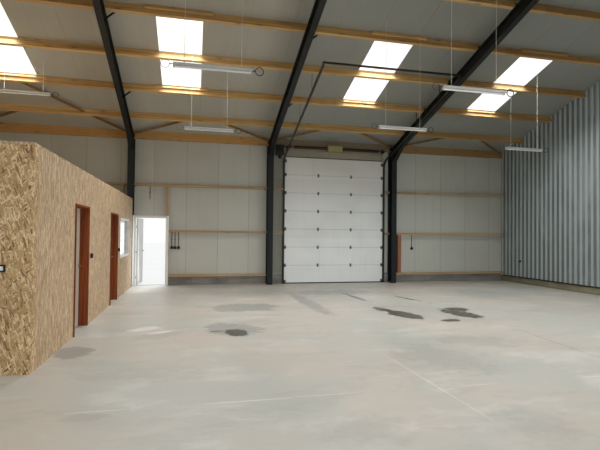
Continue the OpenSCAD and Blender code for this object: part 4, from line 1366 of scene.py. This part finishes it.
@dataclass
class Envelope(Assembly):
    """Walls, linings, roof, rooflights and the trims outside."""

    trim: float = 0.0025
    leg: float = 0.12
    gap: float = 0.0005
    trim_foot: float = 0.16
    trim_drop: float = 0.07
    upstand: float = 0.27
    drip_ends: tuple[float, ...] = (-4.01, -0.55, 3.245, 4.255)
    screw: float = 0.009
    rib_step: float = 0.336
    roof_start: float = -8.7805
    gutter_top: float = 4.8932
    gutter_foot: float = 4.7862
    gutter_front: float = -8.338
    strap_back: float = -8.216
    stop_back: float = -8.2135
    strap_step: float = 1.05
    straps_a_side: int = 8
    lining_rows: tuple[float, ...] = (0.62, 1.86, 3.10, 4.34)
    crest_step: float = 0.4
    crest: float = 0.03
    crests_a_side: int = 19
    closure_z: tuple[float, float] = (0.352, 0.385)

    def corner_trims(self) -> Piece:
        """Folded angles over the four corners of the walls, hemmed at their edges.

        Returns:
            The four trims.
        """
        top = HALL.roof_z(-HALL.wall) - self.trim_drop
        piece = block((HALL.hall_x - self.leg, HALL.outer, HALL.floor + self.trim_foot),
                      (HALL.hall_x + self.trim, HALL.outer + self.trim, top))
        cut(piece, (HALL.hall_x, 0, 0), Side.RIGHT)
        draw_out(piece, Side.FRONT, (0, -self.leg, 0), where=lambda middle: middle.x > HALL.hall_x)
        draw_out(piece, Side.LEFT, (-0.012, -0.0015, 0), where=lambda middle: middle.y > HALL.outer)
        return spread(piece, [Matrix.Identity(4), FLIP_X, FLIP_Y, HALF_TURN])

    def drips(self) -> Piece:
        """Folded drip strips under the wall panels, beside the doorways, with a sloping lip.

        Returns:
            The strips.
        """
        z, end = HALL.floor + self.upstand, HALL.hall_x - 0.1
        near, far = HALL.outer + self.gap, HALL.outer + 0.003
        gate, to_gate, entry, past_entry = self.drip_ends
        runs = (-1, -end, gate), (-1, to_gate, entry), (-1, past_entry, end), (1, -end, end)
        return join(*(draw_out(block((start, way * near, z + 0.012), (stop, way * far, z + 0.06)),
                               Side.FOOT, (0, way * 0.014, -0.014)) for way, start, stop in runs))

    def roof_screws(self) -> Piece:
        """Capped screws on the ribs, over the purlins.

        Returns:
            The screws.
        """
        cap = rod((0, 0, 0), (0, 0, 0.005), self.screw * 1.3, 8)
        draw_out(cap, Side.TOP, (0, 0, 0.004), 0.62, 0.002)
        count = int((HALL.hall_x - self.roof_start - 0.07) / self.rib_step) + 1
        moves = []
        for s in HALL.purlins:
            for x in (self.roof_start + i * self.rib_step for i in range(count)):
                at = HALL.slope(0) @ Matrix.Translation(
                    (x, s / math.cos(HALL.pitch), HALL.roof + HALL.rib))
                moves += [at, HALF_TURN @ Matrix.Translation((-2 * x, 0, 0)) @ at]
        return spread(cap, moves)

    def gutter_brackets(self) -> Piece:
        """Straps over the gutters, folded down at the front, and a stopped end at each end.

        Returns:
            The straps and the ends.
        """
        top, front = self.gutter_top, self.gutter_front
        strap = block((-0.012, front, top), (0.012, self.strap_back, top + 0.003))
        draw_out(strap, Side.FRONT, (0, -0.0015, 0))
        draw_out(strap, Side.FOOT, (0, 0, -0.02), where=lambda middle: middle.y < front + 0.001)
        stop = block((HALL.hall_x - 0.004, front + 0.002, self.gutter_foot),
                     (HALL.hall_x - 0.001, self.stop_back, top - 0.001))
        draw_out(stop, Side.RIGHT, (0.0008, 0, 0), 1.0, 0.008)
        straps = [at for i in range(-self.straps_a_side, self.straps_a_side + 1)
                  for at in both(Matrix.Translation((i * self.strap_step, 0, 0)))]
        ends = [Matrix.Identity(4), FLIP_X, HALF_TURN, HALF_TURN @ FLIP_X]
        return join(spread(strap, straps), spread(stop, ends))

    def lining_screws(self) -> Piece:
        """Screws with washers on the crests of the gable linings.

        Returns:
            The screws.
        """
        head = rod((0, 0, 0), (0.004, 0, 0), self.screw, 8)
        draw_out(head, Side.RIGHT, (0.003, 0, 0), 0.6, 0.0015)
        crests = [i * self.crest_step + self.crest
                  for i in range(-self.crests_a_side, self.crests_a_side + 1)]
        return spread(head, [at for z in self.lining_rows for y in crests
                             for at in both(Matrix.Translation((-HALL.lining_x, y, z)))])

    def closures(self) -> Piece:
        """Dark closure strips along the foot of the gable linings.

        Returns:
            The strips.
        """
        end, near, far = HALL.half_span - 0.16, HALL.lining_x - 0.006, HALL.lining_x - self.gap
        low, high = self.closure_z
        return join(*(draw_out(block((way * near, -end, low), (way * far, end, high)),
                               Side.FOOT, (-way * 0.012, 0, -0.0015)) for way in (-1, 1)))

    def build(self) -> None:
        """Fits the trims and fixings."""
        hand_over(self.corner_trims(), "corner_trims", TRIM)
        hand_over(self.drips(), "wall_drips", TRIM)
        hand_over(self.roof_screws(), "roof_screws", ZINC)
        hand_over(self.gutter_brackets(), "gutter_brackets", ZINC)
        hand_over(self.lining_screws(), "lining_screws", ZINC)
        hand_over(self.closures(), "lining_closures", STEEL)

    def dress(self) -> None:
        """Finishes the sheets."""
        dress(WALL_PANEL, "wall_front", "wall_heads", "wall_rear")
        dress(GABLE_PANEL, "gable_walls")
        dress(LINING, "gable_linings")
        dress(ROOF_PANEL, "roof_front", "roof_rear")
        dress(Daylight("rooflight_sheet"), "rooflights")
        dress(TRIM, "ridge_cap", "verge_trims")
        dress(ZINC, "gutters", "downpipes")


@dataclass
class SectionalDoor(Assembly):
    """The sectional door with its tracks, shaft and drive."""

    leaf_y: float = -8.01
    lip_y: float = -8.045
    joint: float = 0.005
    gap: float = 0.0005
    trim: float = 0.0025
    reveal: float = 0.085
    flange: float = 0.06
    head_low: float = 4.6415
    head_high: float = 4.7385
    flashing_x: tuple[float, float] = (-0.455, -0.095)
    fold_x: tuple[float, float] = (-0.425, -0.365)
    flashing_runs: tuple[tuple[float, float], ...] = ((0.50, 1.815), (1.905, 3.265), (3.355, 4.60))

    @property
    def top(self) -> float:
        """Height of the leaf's top."""
        return HALL.floor + HALL.gate_height

    def strip(self, y: float, z: float, to_y: float, to_z: float, half: float = HALL.gate_half,
              more: float = 0.0) -> Piece:
        """A strip along the door, about as wide as the door is.

        Args:
            y: One side of it.
            z: Its lower edge.
            to_y: The other side.
            to_z: Its upper edge.
            half: Half its length.
            more: How much further it goes towards +X.

        Returns:
            The strip.
        """
        return block((HALL.gate_x - half, y, z), (HALL.gate_x + half + more, to_y, to_z))

    def head_strip(self) -> Piece:
        """The board that closes the gap between the door's head and the eaves beam.

        Returns:
            The board.
        """
        wall = -HALL.half_span
        board = self.strip(wall + self.gap, self.head_low, wall + 0.005, self.head_high, more=0.08)
        return draw_out(board, Side.REAR, (0, 0.003, 0), 1.0, 0.004)

    def flashings(self) -> Piece:
        """Folded flashings on the wall beside the door, between its track and the middle column.

        Returns:
            The flashings.
        """
        wall, made = -HALL.half_span, []
        for low, high in self.flashing_runs:
            (x, to_x), (fold, to_fold) = self.flashing_x, self.fold_x
            sheet = block((x, wall + self.gap, low), (to_x, wall + 0.003, high))
            ridge = block((fold, wall + 0.0032, low), (to_fold, wall + 0.02, high))
            made += [sheet, draw_out(ridge, Side.REAR, (0, 0.006, 0), 1.0, 0.006)]
        return join(*made)

    def reveal_trims(self) -> Piece:
        """Folded angles round the opening, outside.

        Returns:
            The trims.
        """
        face, front, foot = -HALL.outer, -HALL.outer - self.trim, HALL.floor + 0.002
        half, head = HALL.gate_half - 0.04, self.top - 0.04
        made = []
        for way, side in ((-1, Side.LEFT), (1, Side.RIGHT)):
            x = HALL.gate_x + way * half
            jamb = block((x - way * 0.002, front, foot),
                         (x + way * self.flange, face - self.gap, head + self.flange))
            inner = block((x - way * self.trim, front, foot),
                          (x - way * self.gap, face + self.reveal, head - self.gap))
            made += [draw_out(jamb, side, (way * 0.008, 0.0006, 0)), inner]
        top = self.strip(front, head - 0.002, face - self.gap, head + self.flange, half)
        soffit = self.strip(front, head - self.trim, face + self.reveal, head - self.gap, half - 0.003)
        return join(*made, top, draw_out(soffit, Side.FRONT, (0, -0.004, -0.006)))

    def joint_seals(self) -> Piece:
        """Lips that close the joints between the sections, set back from the leaf's face."""
        joints = [HALL.floor + i * HALL.section for i in range(1, HALL.sections)]
        return join(*(draw_out(self.strip(self.lip_y, z - self.joint, self.leaf_y - 0.004, z),
                               Side.REAR, (0, 0.0025, 0), 1.0, 0.0012) for z in joints))

    def edge_seals(self) -> Piece:
        """Rubber along the leaf's foot and top.

        Returns:
            The two seals.
        """
        y = self.leaf_y + self.gap
        foot = self.strip(y, HALL.floor + self.gap, self.leaf_y + 0.014, HALL.floor + 0.032)
        top = self.strip(y, self.top - 0.022, self.leaf_y + 0.016, self.top - 0.004)
        return soften(join(foot, top), 0.005)

    def end_caps(self) -> Piece:
        """Folded steel caps on the ends of the sections.

        Returns:
            The caps.
        """
        z, end = HALL.floor + 0.036, HALL.gate_x + HALL.gate_half
        cap = block((end - 0.052, self.leaf_y + 0.0003, z),
                    (end - self.gap, self.leaf_y + 0.0018, z + HALL.section - 0.075))
        draw_out(cap, Side.REAR, (0, 0.0012, 0), 1.0, 0.006)
        ups = [Matrix.Translation((0, 0, i * HALL.section)) for i in range(HALL.sections)]
        mirrored = Matrix.Translation((2 * HALL.gate_x, 0, 0)) @ FLIP_X
        return spread(cap, ups + [up @ mirrored for up in ups])

    def build(self) -> None:
        """Fits the head's strip, the flashings, the trims, the seals and the caps."""
        hand_over(self.head_strip(), "gate_head_strip", HEAD_BOARD)
        hand_over(self.flashings(), "gate_shade_flashings", SHADE_FLASHING)
        hand_over(self.reveal_trims(), "gate_reveal_trims", TRIM)
        hand_over(self.joint_seals(), "gate_joint_seals", GATE_WHITE)
        hand_over(self.edge_seals(), "gate_edge_seals", RUBBER)
        hand_over(self.end_caps(), "gate_end_caps", GATE_WHITE)

    def dress(self) -> None:
        """Finishes the door."""
        dress(GATE_WHITE, "gate_leaf")
        dress(HingeSteel("hinge_steel"), "gate_hinges")
        dress(TRACK_ZINC_SHADED, "gate_tracks")
        dress(SPRING_STEEL, "gate_shaft")
        dress(HEAD_BOARD, "gate_head")
        dress(OLIVE, "gate_coupling")
        dress(BLACK, "gate_drive")


@dataclass
class Entrance(Assembly):
    """The entrance door, which stands open."""

    pivot: tuple[float, float] = (4.2025, -8.163)
    open_turn: float = 86.0
    leaf_thick: float = 0.045
    frame_width: float = 0.068
    sill_y: tuple[float, float] = (-8.158, -8.062)
    cover_height: float = 2.19

    def sill(self) -> Piece:
        """The threshold, with a groove along it.

        Returns:
            The threshold.
        """
        half = HALL.entry_half - self.frame_width
        piece = block((HALL.entry_x - half, self.sill_y[0], HALL.floor + 0.0005),
                      (HALL.entry_x + half, self.sill_y[1], HALL.floor + 0.005))
        return draw_out(piece, Side.TOP, (0, 0, -0.002), 1.0, 0.012)

    def cover_boards(self) -> Piece:
        """White boards inside, over the post, the reveal, the column's side and the head.

        Returns:
            The boards.
        """
        low, high = HALL.floor + 0.001, HALL.floor + self.cover_height
        near, far = HALL.entry_x - HALL.entry_half - 0.0395, HALL.entry_x + HALL.entry_half + 0.0055
        boards = ((near, near + 0.075, 0.152, 0.164, low),
                  (near + 0.076, near + 0.089, 0.001, 0.164, low),
                  (far - 0.013, far, 0.001, 0.372, low),
                  (near + 0.090, far - 0.014, 0.001, 0.012, high - 0.072))
        wall = HALL.half_span
        return join(*(soften(block((x, s - wall, z), (to_x, to_s - wall, high)), 0.002)
                      for x, to_x, s, to_s, z in boards))

    def build(self) -> None:
        """Fits the threshold and the cover boards."""
        hand_over(self.sill(), "entry_threshold", ZINC)
        hand_over(self.cover_boards(), "entry_cover_boards", WHITE_PROFILE)

    def dress(self) -> None:
        """Finishes the entrance."""
        leaf = DoorLeaf("entrance_leaf", pivot=self.pivot, turn=self.open_turn, thick=self.leaf_thick)
        dress(leaf, "entry_leaf")
        dress(WHITE_PROFILE, "entry_frame_set")


@dataclass
class Office(Assembly):
    """The board-walled office."""

    hinge_x: float = 4.46
    near_hinge_y: float = -0.6955
    far_hinge_y: float = -3.9525
    paint: Colour = rgb(204, 195, 182)

    def dress(self) -> None:
        """Finishes the office."""
        dress(BOARD_WALL, "office_side_wall", "office_lintels")
        dress(BOARD_END, "office_end_wall")
        dress(BOARD_FLAT, "office_roof")
        dress(StainedLining("stained_lining"), "office_linings")
        for node, y in (("office_door_near", self.near_hinge_y),
                        ("office_door_far", self.far_hinge_y)):
            dress(DoorLeaf(node + "_paint", self.paint, pivot=(self.hinge_x, y), turn=90), node)
        dress(WHITE_PROFILE, "office_window")
        dress(ClearGlass("window_glass"), "office_glass")


@dataclass
class Electrics(Assembly):
    """Sockets, switches and the conduits down to them."""

    conduit: float = 0.011
    socket_x: tuple[float, ...] = (3.109, 3.011, 2.903, -5.185)
    socket_z: float = 1.34
    socket_radius: float = 0.05
    socket_depth: float = 0.045
    entry_switch_x: float = 3.795
    switch_y: tuple[float, ...] = (-1.87, -5.09)
    switch_z: float = 1.37
    switch_half: float = 0.043
    end_switch: tuple[float, float] = (4.587, 1.375)
    rim_half: float = 0.042
    plate_half: float = 0.024
    lining_box: tuple[float, float] = (-6.97, 0.93)
    box_half: float = 0.035
    clip_half: float = 0.022

    def socket(self) -> Piece:
        """A round surface socket with a recess, facing +Y from the origin."""
        body = rod((0, 0.0005, 0), (0, self.socket_depth, 0), self.socket_radius, 24)
        return soften(draw_out(body, Side.REAR, (0, -0.014, 0), 1.0, 0.009), 0.003)

    def switch(self) -> Piece:
        """A surface switch with a rocker, facing +Y from the origin.

        Returns:
            The switch.
        """
        rocker = block((-0.020, 0.033, -0.028), (0.020, 0.039, 0.028))
        draw_out(rocker, Side.REAR, (0, 0.002, 0.004), 0.86)
        half = self.switch_half
        return join(soften(block((-half, 0.0005, -half), (half, 0.034, half)), 0.006), rocker)

    def run(self, x: float, low: float, rail: float) -> Piece:
        """A conduit on the front wall, with a clip halfway.

        Args:
            x: Its place along the wall.
            low: Height of its foot.
            rail: Height over the floor of the rail that it ends under.

        Returns:
            The conduit.
        """
        size, high = self.conduit, HALL.floor + rail - 0.002
        y = -HALL.half_span + size + 0.001
        pipe = smooth(rod((x, y, low), (x, y, high), size, 12))
        z, half, back = (low + high) / 2, self.clip_half, y - size
        clip = block((x - half, back - 0.0005, z - 0.009), (x + half, back + 0.003, z + 0.009))
        return join(pipe, clip, rod((x, y, z - 0.008), (x, y, z + 0.008), size + 0.003, 12))

    def build(self) -> None:
        """Fits the sockets, switches and conduits."""
        sockets = spread(self.socket(), [(x, -HALL.half_span, self.socket_z) for x in self.socket_x])
        hand_over(sockets, "wall_sockets", BLACK)
        runs = [self.run(x, self.socket_z + 0.041, HALL.rail_mid) for x in self.socket_x]
        runs.append(self.run(self.entry_switch_x, 2.86, HALL.rail_top))
        hand_over(join(*runs), "wall_conduits", DARK_CONDUIT)
        (y, z), half, face = self.lining_box, self.box_half, -HALL.lining_x
        box = block((face + 0.0005, y - half, z - half), (face + 0.04, y + half, z + half))
        hand_over(soften(box, 0.006), "lining_box", BLACK)
        quarter = Matrix.Rotation(math.radians(90), 4, "Z")
        switches = spread(self.switch(), [
            Matrix.Translation((HALL.office_x, y, self.switch_z)) @ quarter for y in self.switch_y])
        hand_over(switches, "office_switches", BLACK)
        (x, z), y, half = self.end_switch, HALL.office_y, self.rim_half
        rim = block((x - half, y + 0.0005, z - half), (x + half, y + 0.03, z + half))
        draw_out(rim, Side.REAR, (0, -0.006, 0), 1.0, 0.016)
        hand_over(soften(rim, 0.003), "end_wall_switch_frame", BLACK)
        half = self.plate_half
        plate = block((x - half, y + 0.0245, z - half), (x + half, y + 0.029, z + half))
        hand_over(soften(plate, 0.002), "end_wall_switch_plate", WHITE_PROFILE)


@dataclass
class HangingLights(Assembly):
    """The batten lights on their wires, with a hoop of stiff cable at each end."""

    places: tuple[Point, ...] = tuple((x, s - HALL.half_span, w + HALL.floor) for x, s, w in (
        (-6.363, 4.33, 4.08), (-2.13, 5.65, 4.10), (2.117, 4.08, 4.16), (6.44, 3.10, 4.99),
        (-6.363, 8.43, 4.10), (-2.048, 8.49, 4.10), (2.203, 8.32, 4.14), (6.44, 8.43, 4.10),
        (-6.363, 11.77, 4.08), (-2.13, 11.77, 4.10), (2.117, 11.77, 4.10), (6.44, 11.77, 4.10)))
    half: float = 0.58
    hoop: float = 0.062
    hoop_z: float = -0.02
    tube_z: float = -0.055
    wire_x: float = 0.418
    hook: float = 0.013
    tube_radius: float = 0.0142
    cap_radius: float = 0.0165
    thin: tuple[float, float] = (0.004, 0.007)
    thick: tuple[float, float] = (0.007, 0.009)

    def hoop_on(self, way: int, bar: float, gland: float) -> Piece:
        """A hoop of cable with its gland.

        Args:
            way: 1 for the end towards +X, -1 for the other.
            bar: The cable's radius.
            gland: The gland's radius.

        Returns:
            The hoop, for a lamp that ends at the origin.
        """
        ends = sorted((way * 0.0005, way * 0.052))
        return join(ring((way * (0.05 + self.hoop), 0, self.hoop_z), self.hoop, bar),
                    rod((ends[0], 0, self.hoop_z), (ends[1], 0, self.hoop_z), gland, 10))

    def tube(self) -> Piece:
        """The tube with a cap at each end.

        Returns:
            The tube and its caps.
        """
        z, end = self.tube_z, self.half - 0.03
        caps = ((way * (self.half - 0.045), way * (self.half - 0.028)) for way in (-1, 1))
        return join(rod((-end, 0, z), (end, 0, z), self.tube_radius, 12),
                    *(rod((x, 0, z), (to_x, 0, z), self.cap_radius, 12) for x, to_x in caps))

    def build(self) -> None:
        """Fits the tubes, the hooks and the hoops at the lamps' ends."""
        thin, thick, tube = self.hoop_on(1, *self.thin), self.hoop_on(-1, *self.thick), self.tube()
        hooks = join(*(ring((way * self.wire_x, 0, 0.016), self.hook, 0.0028) for way in (-1, 1)))
        hand_over(spread(tube, self.places), "lamp_tubes", TUBE_WHITE)
        hand_over(spread(hooks, self.places), "lamp_hooks", DARK_CONDUIT)
        right, left = ([(x + way * self.half, y, z) for x, y, z in self.places] for way in (1, -1))
        hand_over(spread(thin, right), "lamp_hoops_thin", DARK_CONDUIT)
        hand_over(spread(thick, left), "lamp_hoops_thick", BLACK)

    def dress(self) -> None:
        """Finishes the lights."""
        dress(LAMP_GREY, "hanging_lights")
        dress(WIRE, "light_wires")


@dataclass(frozen=True)
class SoftLamp:
    """A soft lamp at a place, facing a point.

    Its size is its width and height, its power is in watts, its spread is the cone that it fills in
    degrees, and glossy says whether reflections show it.
    """

    name: str
    place: Point
    aim: Point
    size: tuple[float, float]
    power: float
    colour: tuple[float, float, float] = (1.0, 1.0, 1.0)
    spread: float = 180.0
    glossy: bool = False

    def hang(self) -> None:
        """Hangs the lamp."""
        lamp = bpy.data.lights.new(self.name, "AREA")
        lamp.shape, (lamp.size, lamp.size_y) = "RECTANGLE", self.size
        lamp.energy, lamp.color, lamp.spread = self.power, self.colour, math.radians(self.spread)
        holder = bpy.data.objects.new(self.name, lamp)
        holder.location = self.place
        ahead = Vector(self.aim) - Vector(self.place)
        holder.rotation_euler = ahead.to_track_quat("-Z", "Y").to_euler()
        holder.visible_camera, holder.visible_glossy = False, self.glossy
        bpy.context.scene.collection.objects.link(holder)


@dataclass
class Studio:
    """The floor, the daylight and the camera."""

    lens: float = 27.769
    eye: Point = (2.465, 7.233, 1.799)
    yaw: float = math.radians(13.0317)
    tilt: float = math.radians(1.1654)
    roll: float = math.radians(0.604)
    rooflights: tuple[float, ...] = (-6.2605, -2.2285, 2.8115, 6.8435)
    skylight: tuple[float, float] = (0.95, 1.24)
    slope_power: tuple[float, float] = (44.0, 19.0)
    sky: float = 0.72
    sky_tone: Colour = (0.93, 0.96, 1.0, 1.0)
    sun: float = 1.15
    sun_turn: Point = (math.radians(42), math.radians(14), math.radians(-28))
    seen_white: float = 0.72
    fills: tuple[SoftLamp, ...] = (
        SoftLamp("rear_light", (-4.4, 7.9, 1.3), (-4.2, -8.0, 0.9), (7.0, 2.0), 34,
                 (0.83, 0.96, 1.0), 46.0),
        SoftLamp("left_light", (2.6, 7.9, 1.3), (1.6, -8.0, 0.9), (6.0, 2.0), 17,
                 (0.88, 0.95, 1.0), 46.0),
        SoftLamp("lining_light", (2.0, 6.6, 2.4), (-8.8, 0.6, 3.9), (3.0, 2.6), 42,
                 (0.95, 0.98, 1.0), 50.0),
        SoftLamp("door_light", (3.72, -8.35, 1.2), (3.6, -4.0, 0.4), (0.8, 1.8), 14,
                 (0.94, 0.98, 1.0), 130.0),
        SoftLamp("near_light", (-1.0, 4.6, 4.0), (-1.0, 4.6, 0.0), (10.0, 3.5), 53,
                 (1.0, 0.99, 0.97), 110.0),
        SoftLamp("middle_light", (0.0, -0.5, 4.2), (0.0, -0.5, 0.0), (9.0, 3.5), 24,
                 (1.0, 0.99, 0.97), 100.0),
        SoftLamp("side_light", (-8.3, 2.4, 1.5), (4.3, -1.2, 1.0), (4.5, 2.2), 95,
                 (1.0, 0.98, 0.95), 95.0),
        SoftLamp("office_light", (6.6, -3.2, 2.5), (6.6, -3.2, 0.0), (3.0, 6.0), 90))

    def camera(self) -> None:
        """Sets the camera where the photograph was taken from."""
        flat = math.cos(self.tilt)
        ahead = Vector((-math.sin(self.yaw) * flat, -math.cos(self.yaw) * flat, math.sin(self.tilt)))
        right = Vector((-math.cos(self.yaw), math.sin(self.yaw), 0))
        up = right.cross(ahead)
        across = right * math.cos(self.roll) + up * math.sin(self.roll)
        upright = up * math.cos(self.roll) - right * math.sin(self.roll)
        lens = bpy.data.cameras.new("hall_camera")
        lens.lens, lens.sensor_width, lens.clip_start, lens.clip_end = self.lens, 36.0, 0.05, 300.0
        camera = bpy.data.objects.new("hall_camera", lens)
        bpy.context.scene.collection.objects.link(camera)
        columns = Matrix((across, upright, -ahead)).transposed().to_4x4()
        camera.matrix_world = Matrix.Translation(self.eye) @ columns
        bpy.context.scene.camera = camera

    def lamps(self) -> None:
        """Hangs two lamps below each rooflight, between its purlins, then the fills and the sun."""
        spaces = [(HALL.purlins[i] + HALL.purlins[i + 1]) / 2 for i in (1, 2)]
        for x in self.rooflights:
            for side in (-1, 1):
                for s in spaces:
                    y, z = side * (HALL.half_span - s), HALL.roof_z(s) - 0.04
                    down = x, y - side * math.sin(HALL.pitch), z - math.cos(HALL.pitch)
                    SoftLamp(f"skylight_{x:.0f}_{side}_{s:.0f}", (x, y, z), down, self.skylight,
                             self.slope_power[side > 0], (1.0, 0.995, 0.98), 140.0, True).hang()
        for lamp in self.fills:
            lamp.hang()
        sun = bpy.data.lights.new("sun", "SUN")
        sun.energy, sun.angle = self.sun, math.radians(12)
        holder = bpy.data.objects.new("sun", sun)
        holder.rotation_euler = self.sun_turn
        bpy.context.scene.collection.objects.link(holder)

    def ground(self) -> None:
        """Lays the pale floor that the hall stands on."""
        clear()
        bpy.ops.mesh.primitive_plane_add(size=160, location=(0, 0, -0.002))
        ground = settle(bpy.context.object)
        ground.name = "studio_floor"
        ink = Ink("studio_floor", Roughness=0.9)
        cloud = ink.noise(0.5, 3.0, 0.5)
        ink.feed(Base_Color=ink.blend(rgb(232, 232, 230), rgb(224, 224, 221), cloud.fade(0.4, 0.7)))
        seen = ink.node("ShaderNodeLightPath", out="Is Camera Ray") * self.seen_white
        white = ink.node("ShaderNodeEmission", sockets={"Color": WHITE, "Strength": 1.0})
        ink.show(ink.node("ShaderNodeMixShader", sockets={0: seen, 1: ink.shader, 2: white}))
        ground.data.materials.append(ink.material)

    def world(self) -> None:
        """Lights the outside evenly, white behind everything."""
        world = bpy.data.worlds.new("daylight")
        world.use_nodes = True
        sheet = NodeSheet(world.node_tree, "ShaderNodeOutputWorld")
        seen = reduce(Val.most, [sheet.node("ShaderNodeLightPath", out=f"Is {ray} Ray")
                                 for ray in ("Camera", "Glossy", "Transmission")])
        plain, white = (sheet.node("ShaderNodeBackground", sockets={"Color": tone, "Strength": power})
                        for tone, power in ((self.sky_tone, self.sky), (WHITE, 1.0)))
        sheet.show(sheet.node("ShaderNodeMixShader", sockets={0: seen, 1: plain, 2: white}))
        bpy.context.scene.world = world


def main() -> None:
    """Builds and dresses the hall, then writes both boxes."""
    logging.basicConfig(level=logging.INFO, format="%(name)s: %(message)s")
    bpy.context.scene.view_settings.view_transform = "Standard"
    studio = Studio()
    studio.camera()
    for part in (ConcreteWork(), SteelFrame(), TimberWork(), Envelope(), SectionalDoor(), Entrance(),
                 Office(), Electrics(), HangingLights()):
        part.build()
        part.dress()
    studio.ground()
    studio.lamps()
    studio.world()
    clear()


if __name__ == "__main__":
    main()
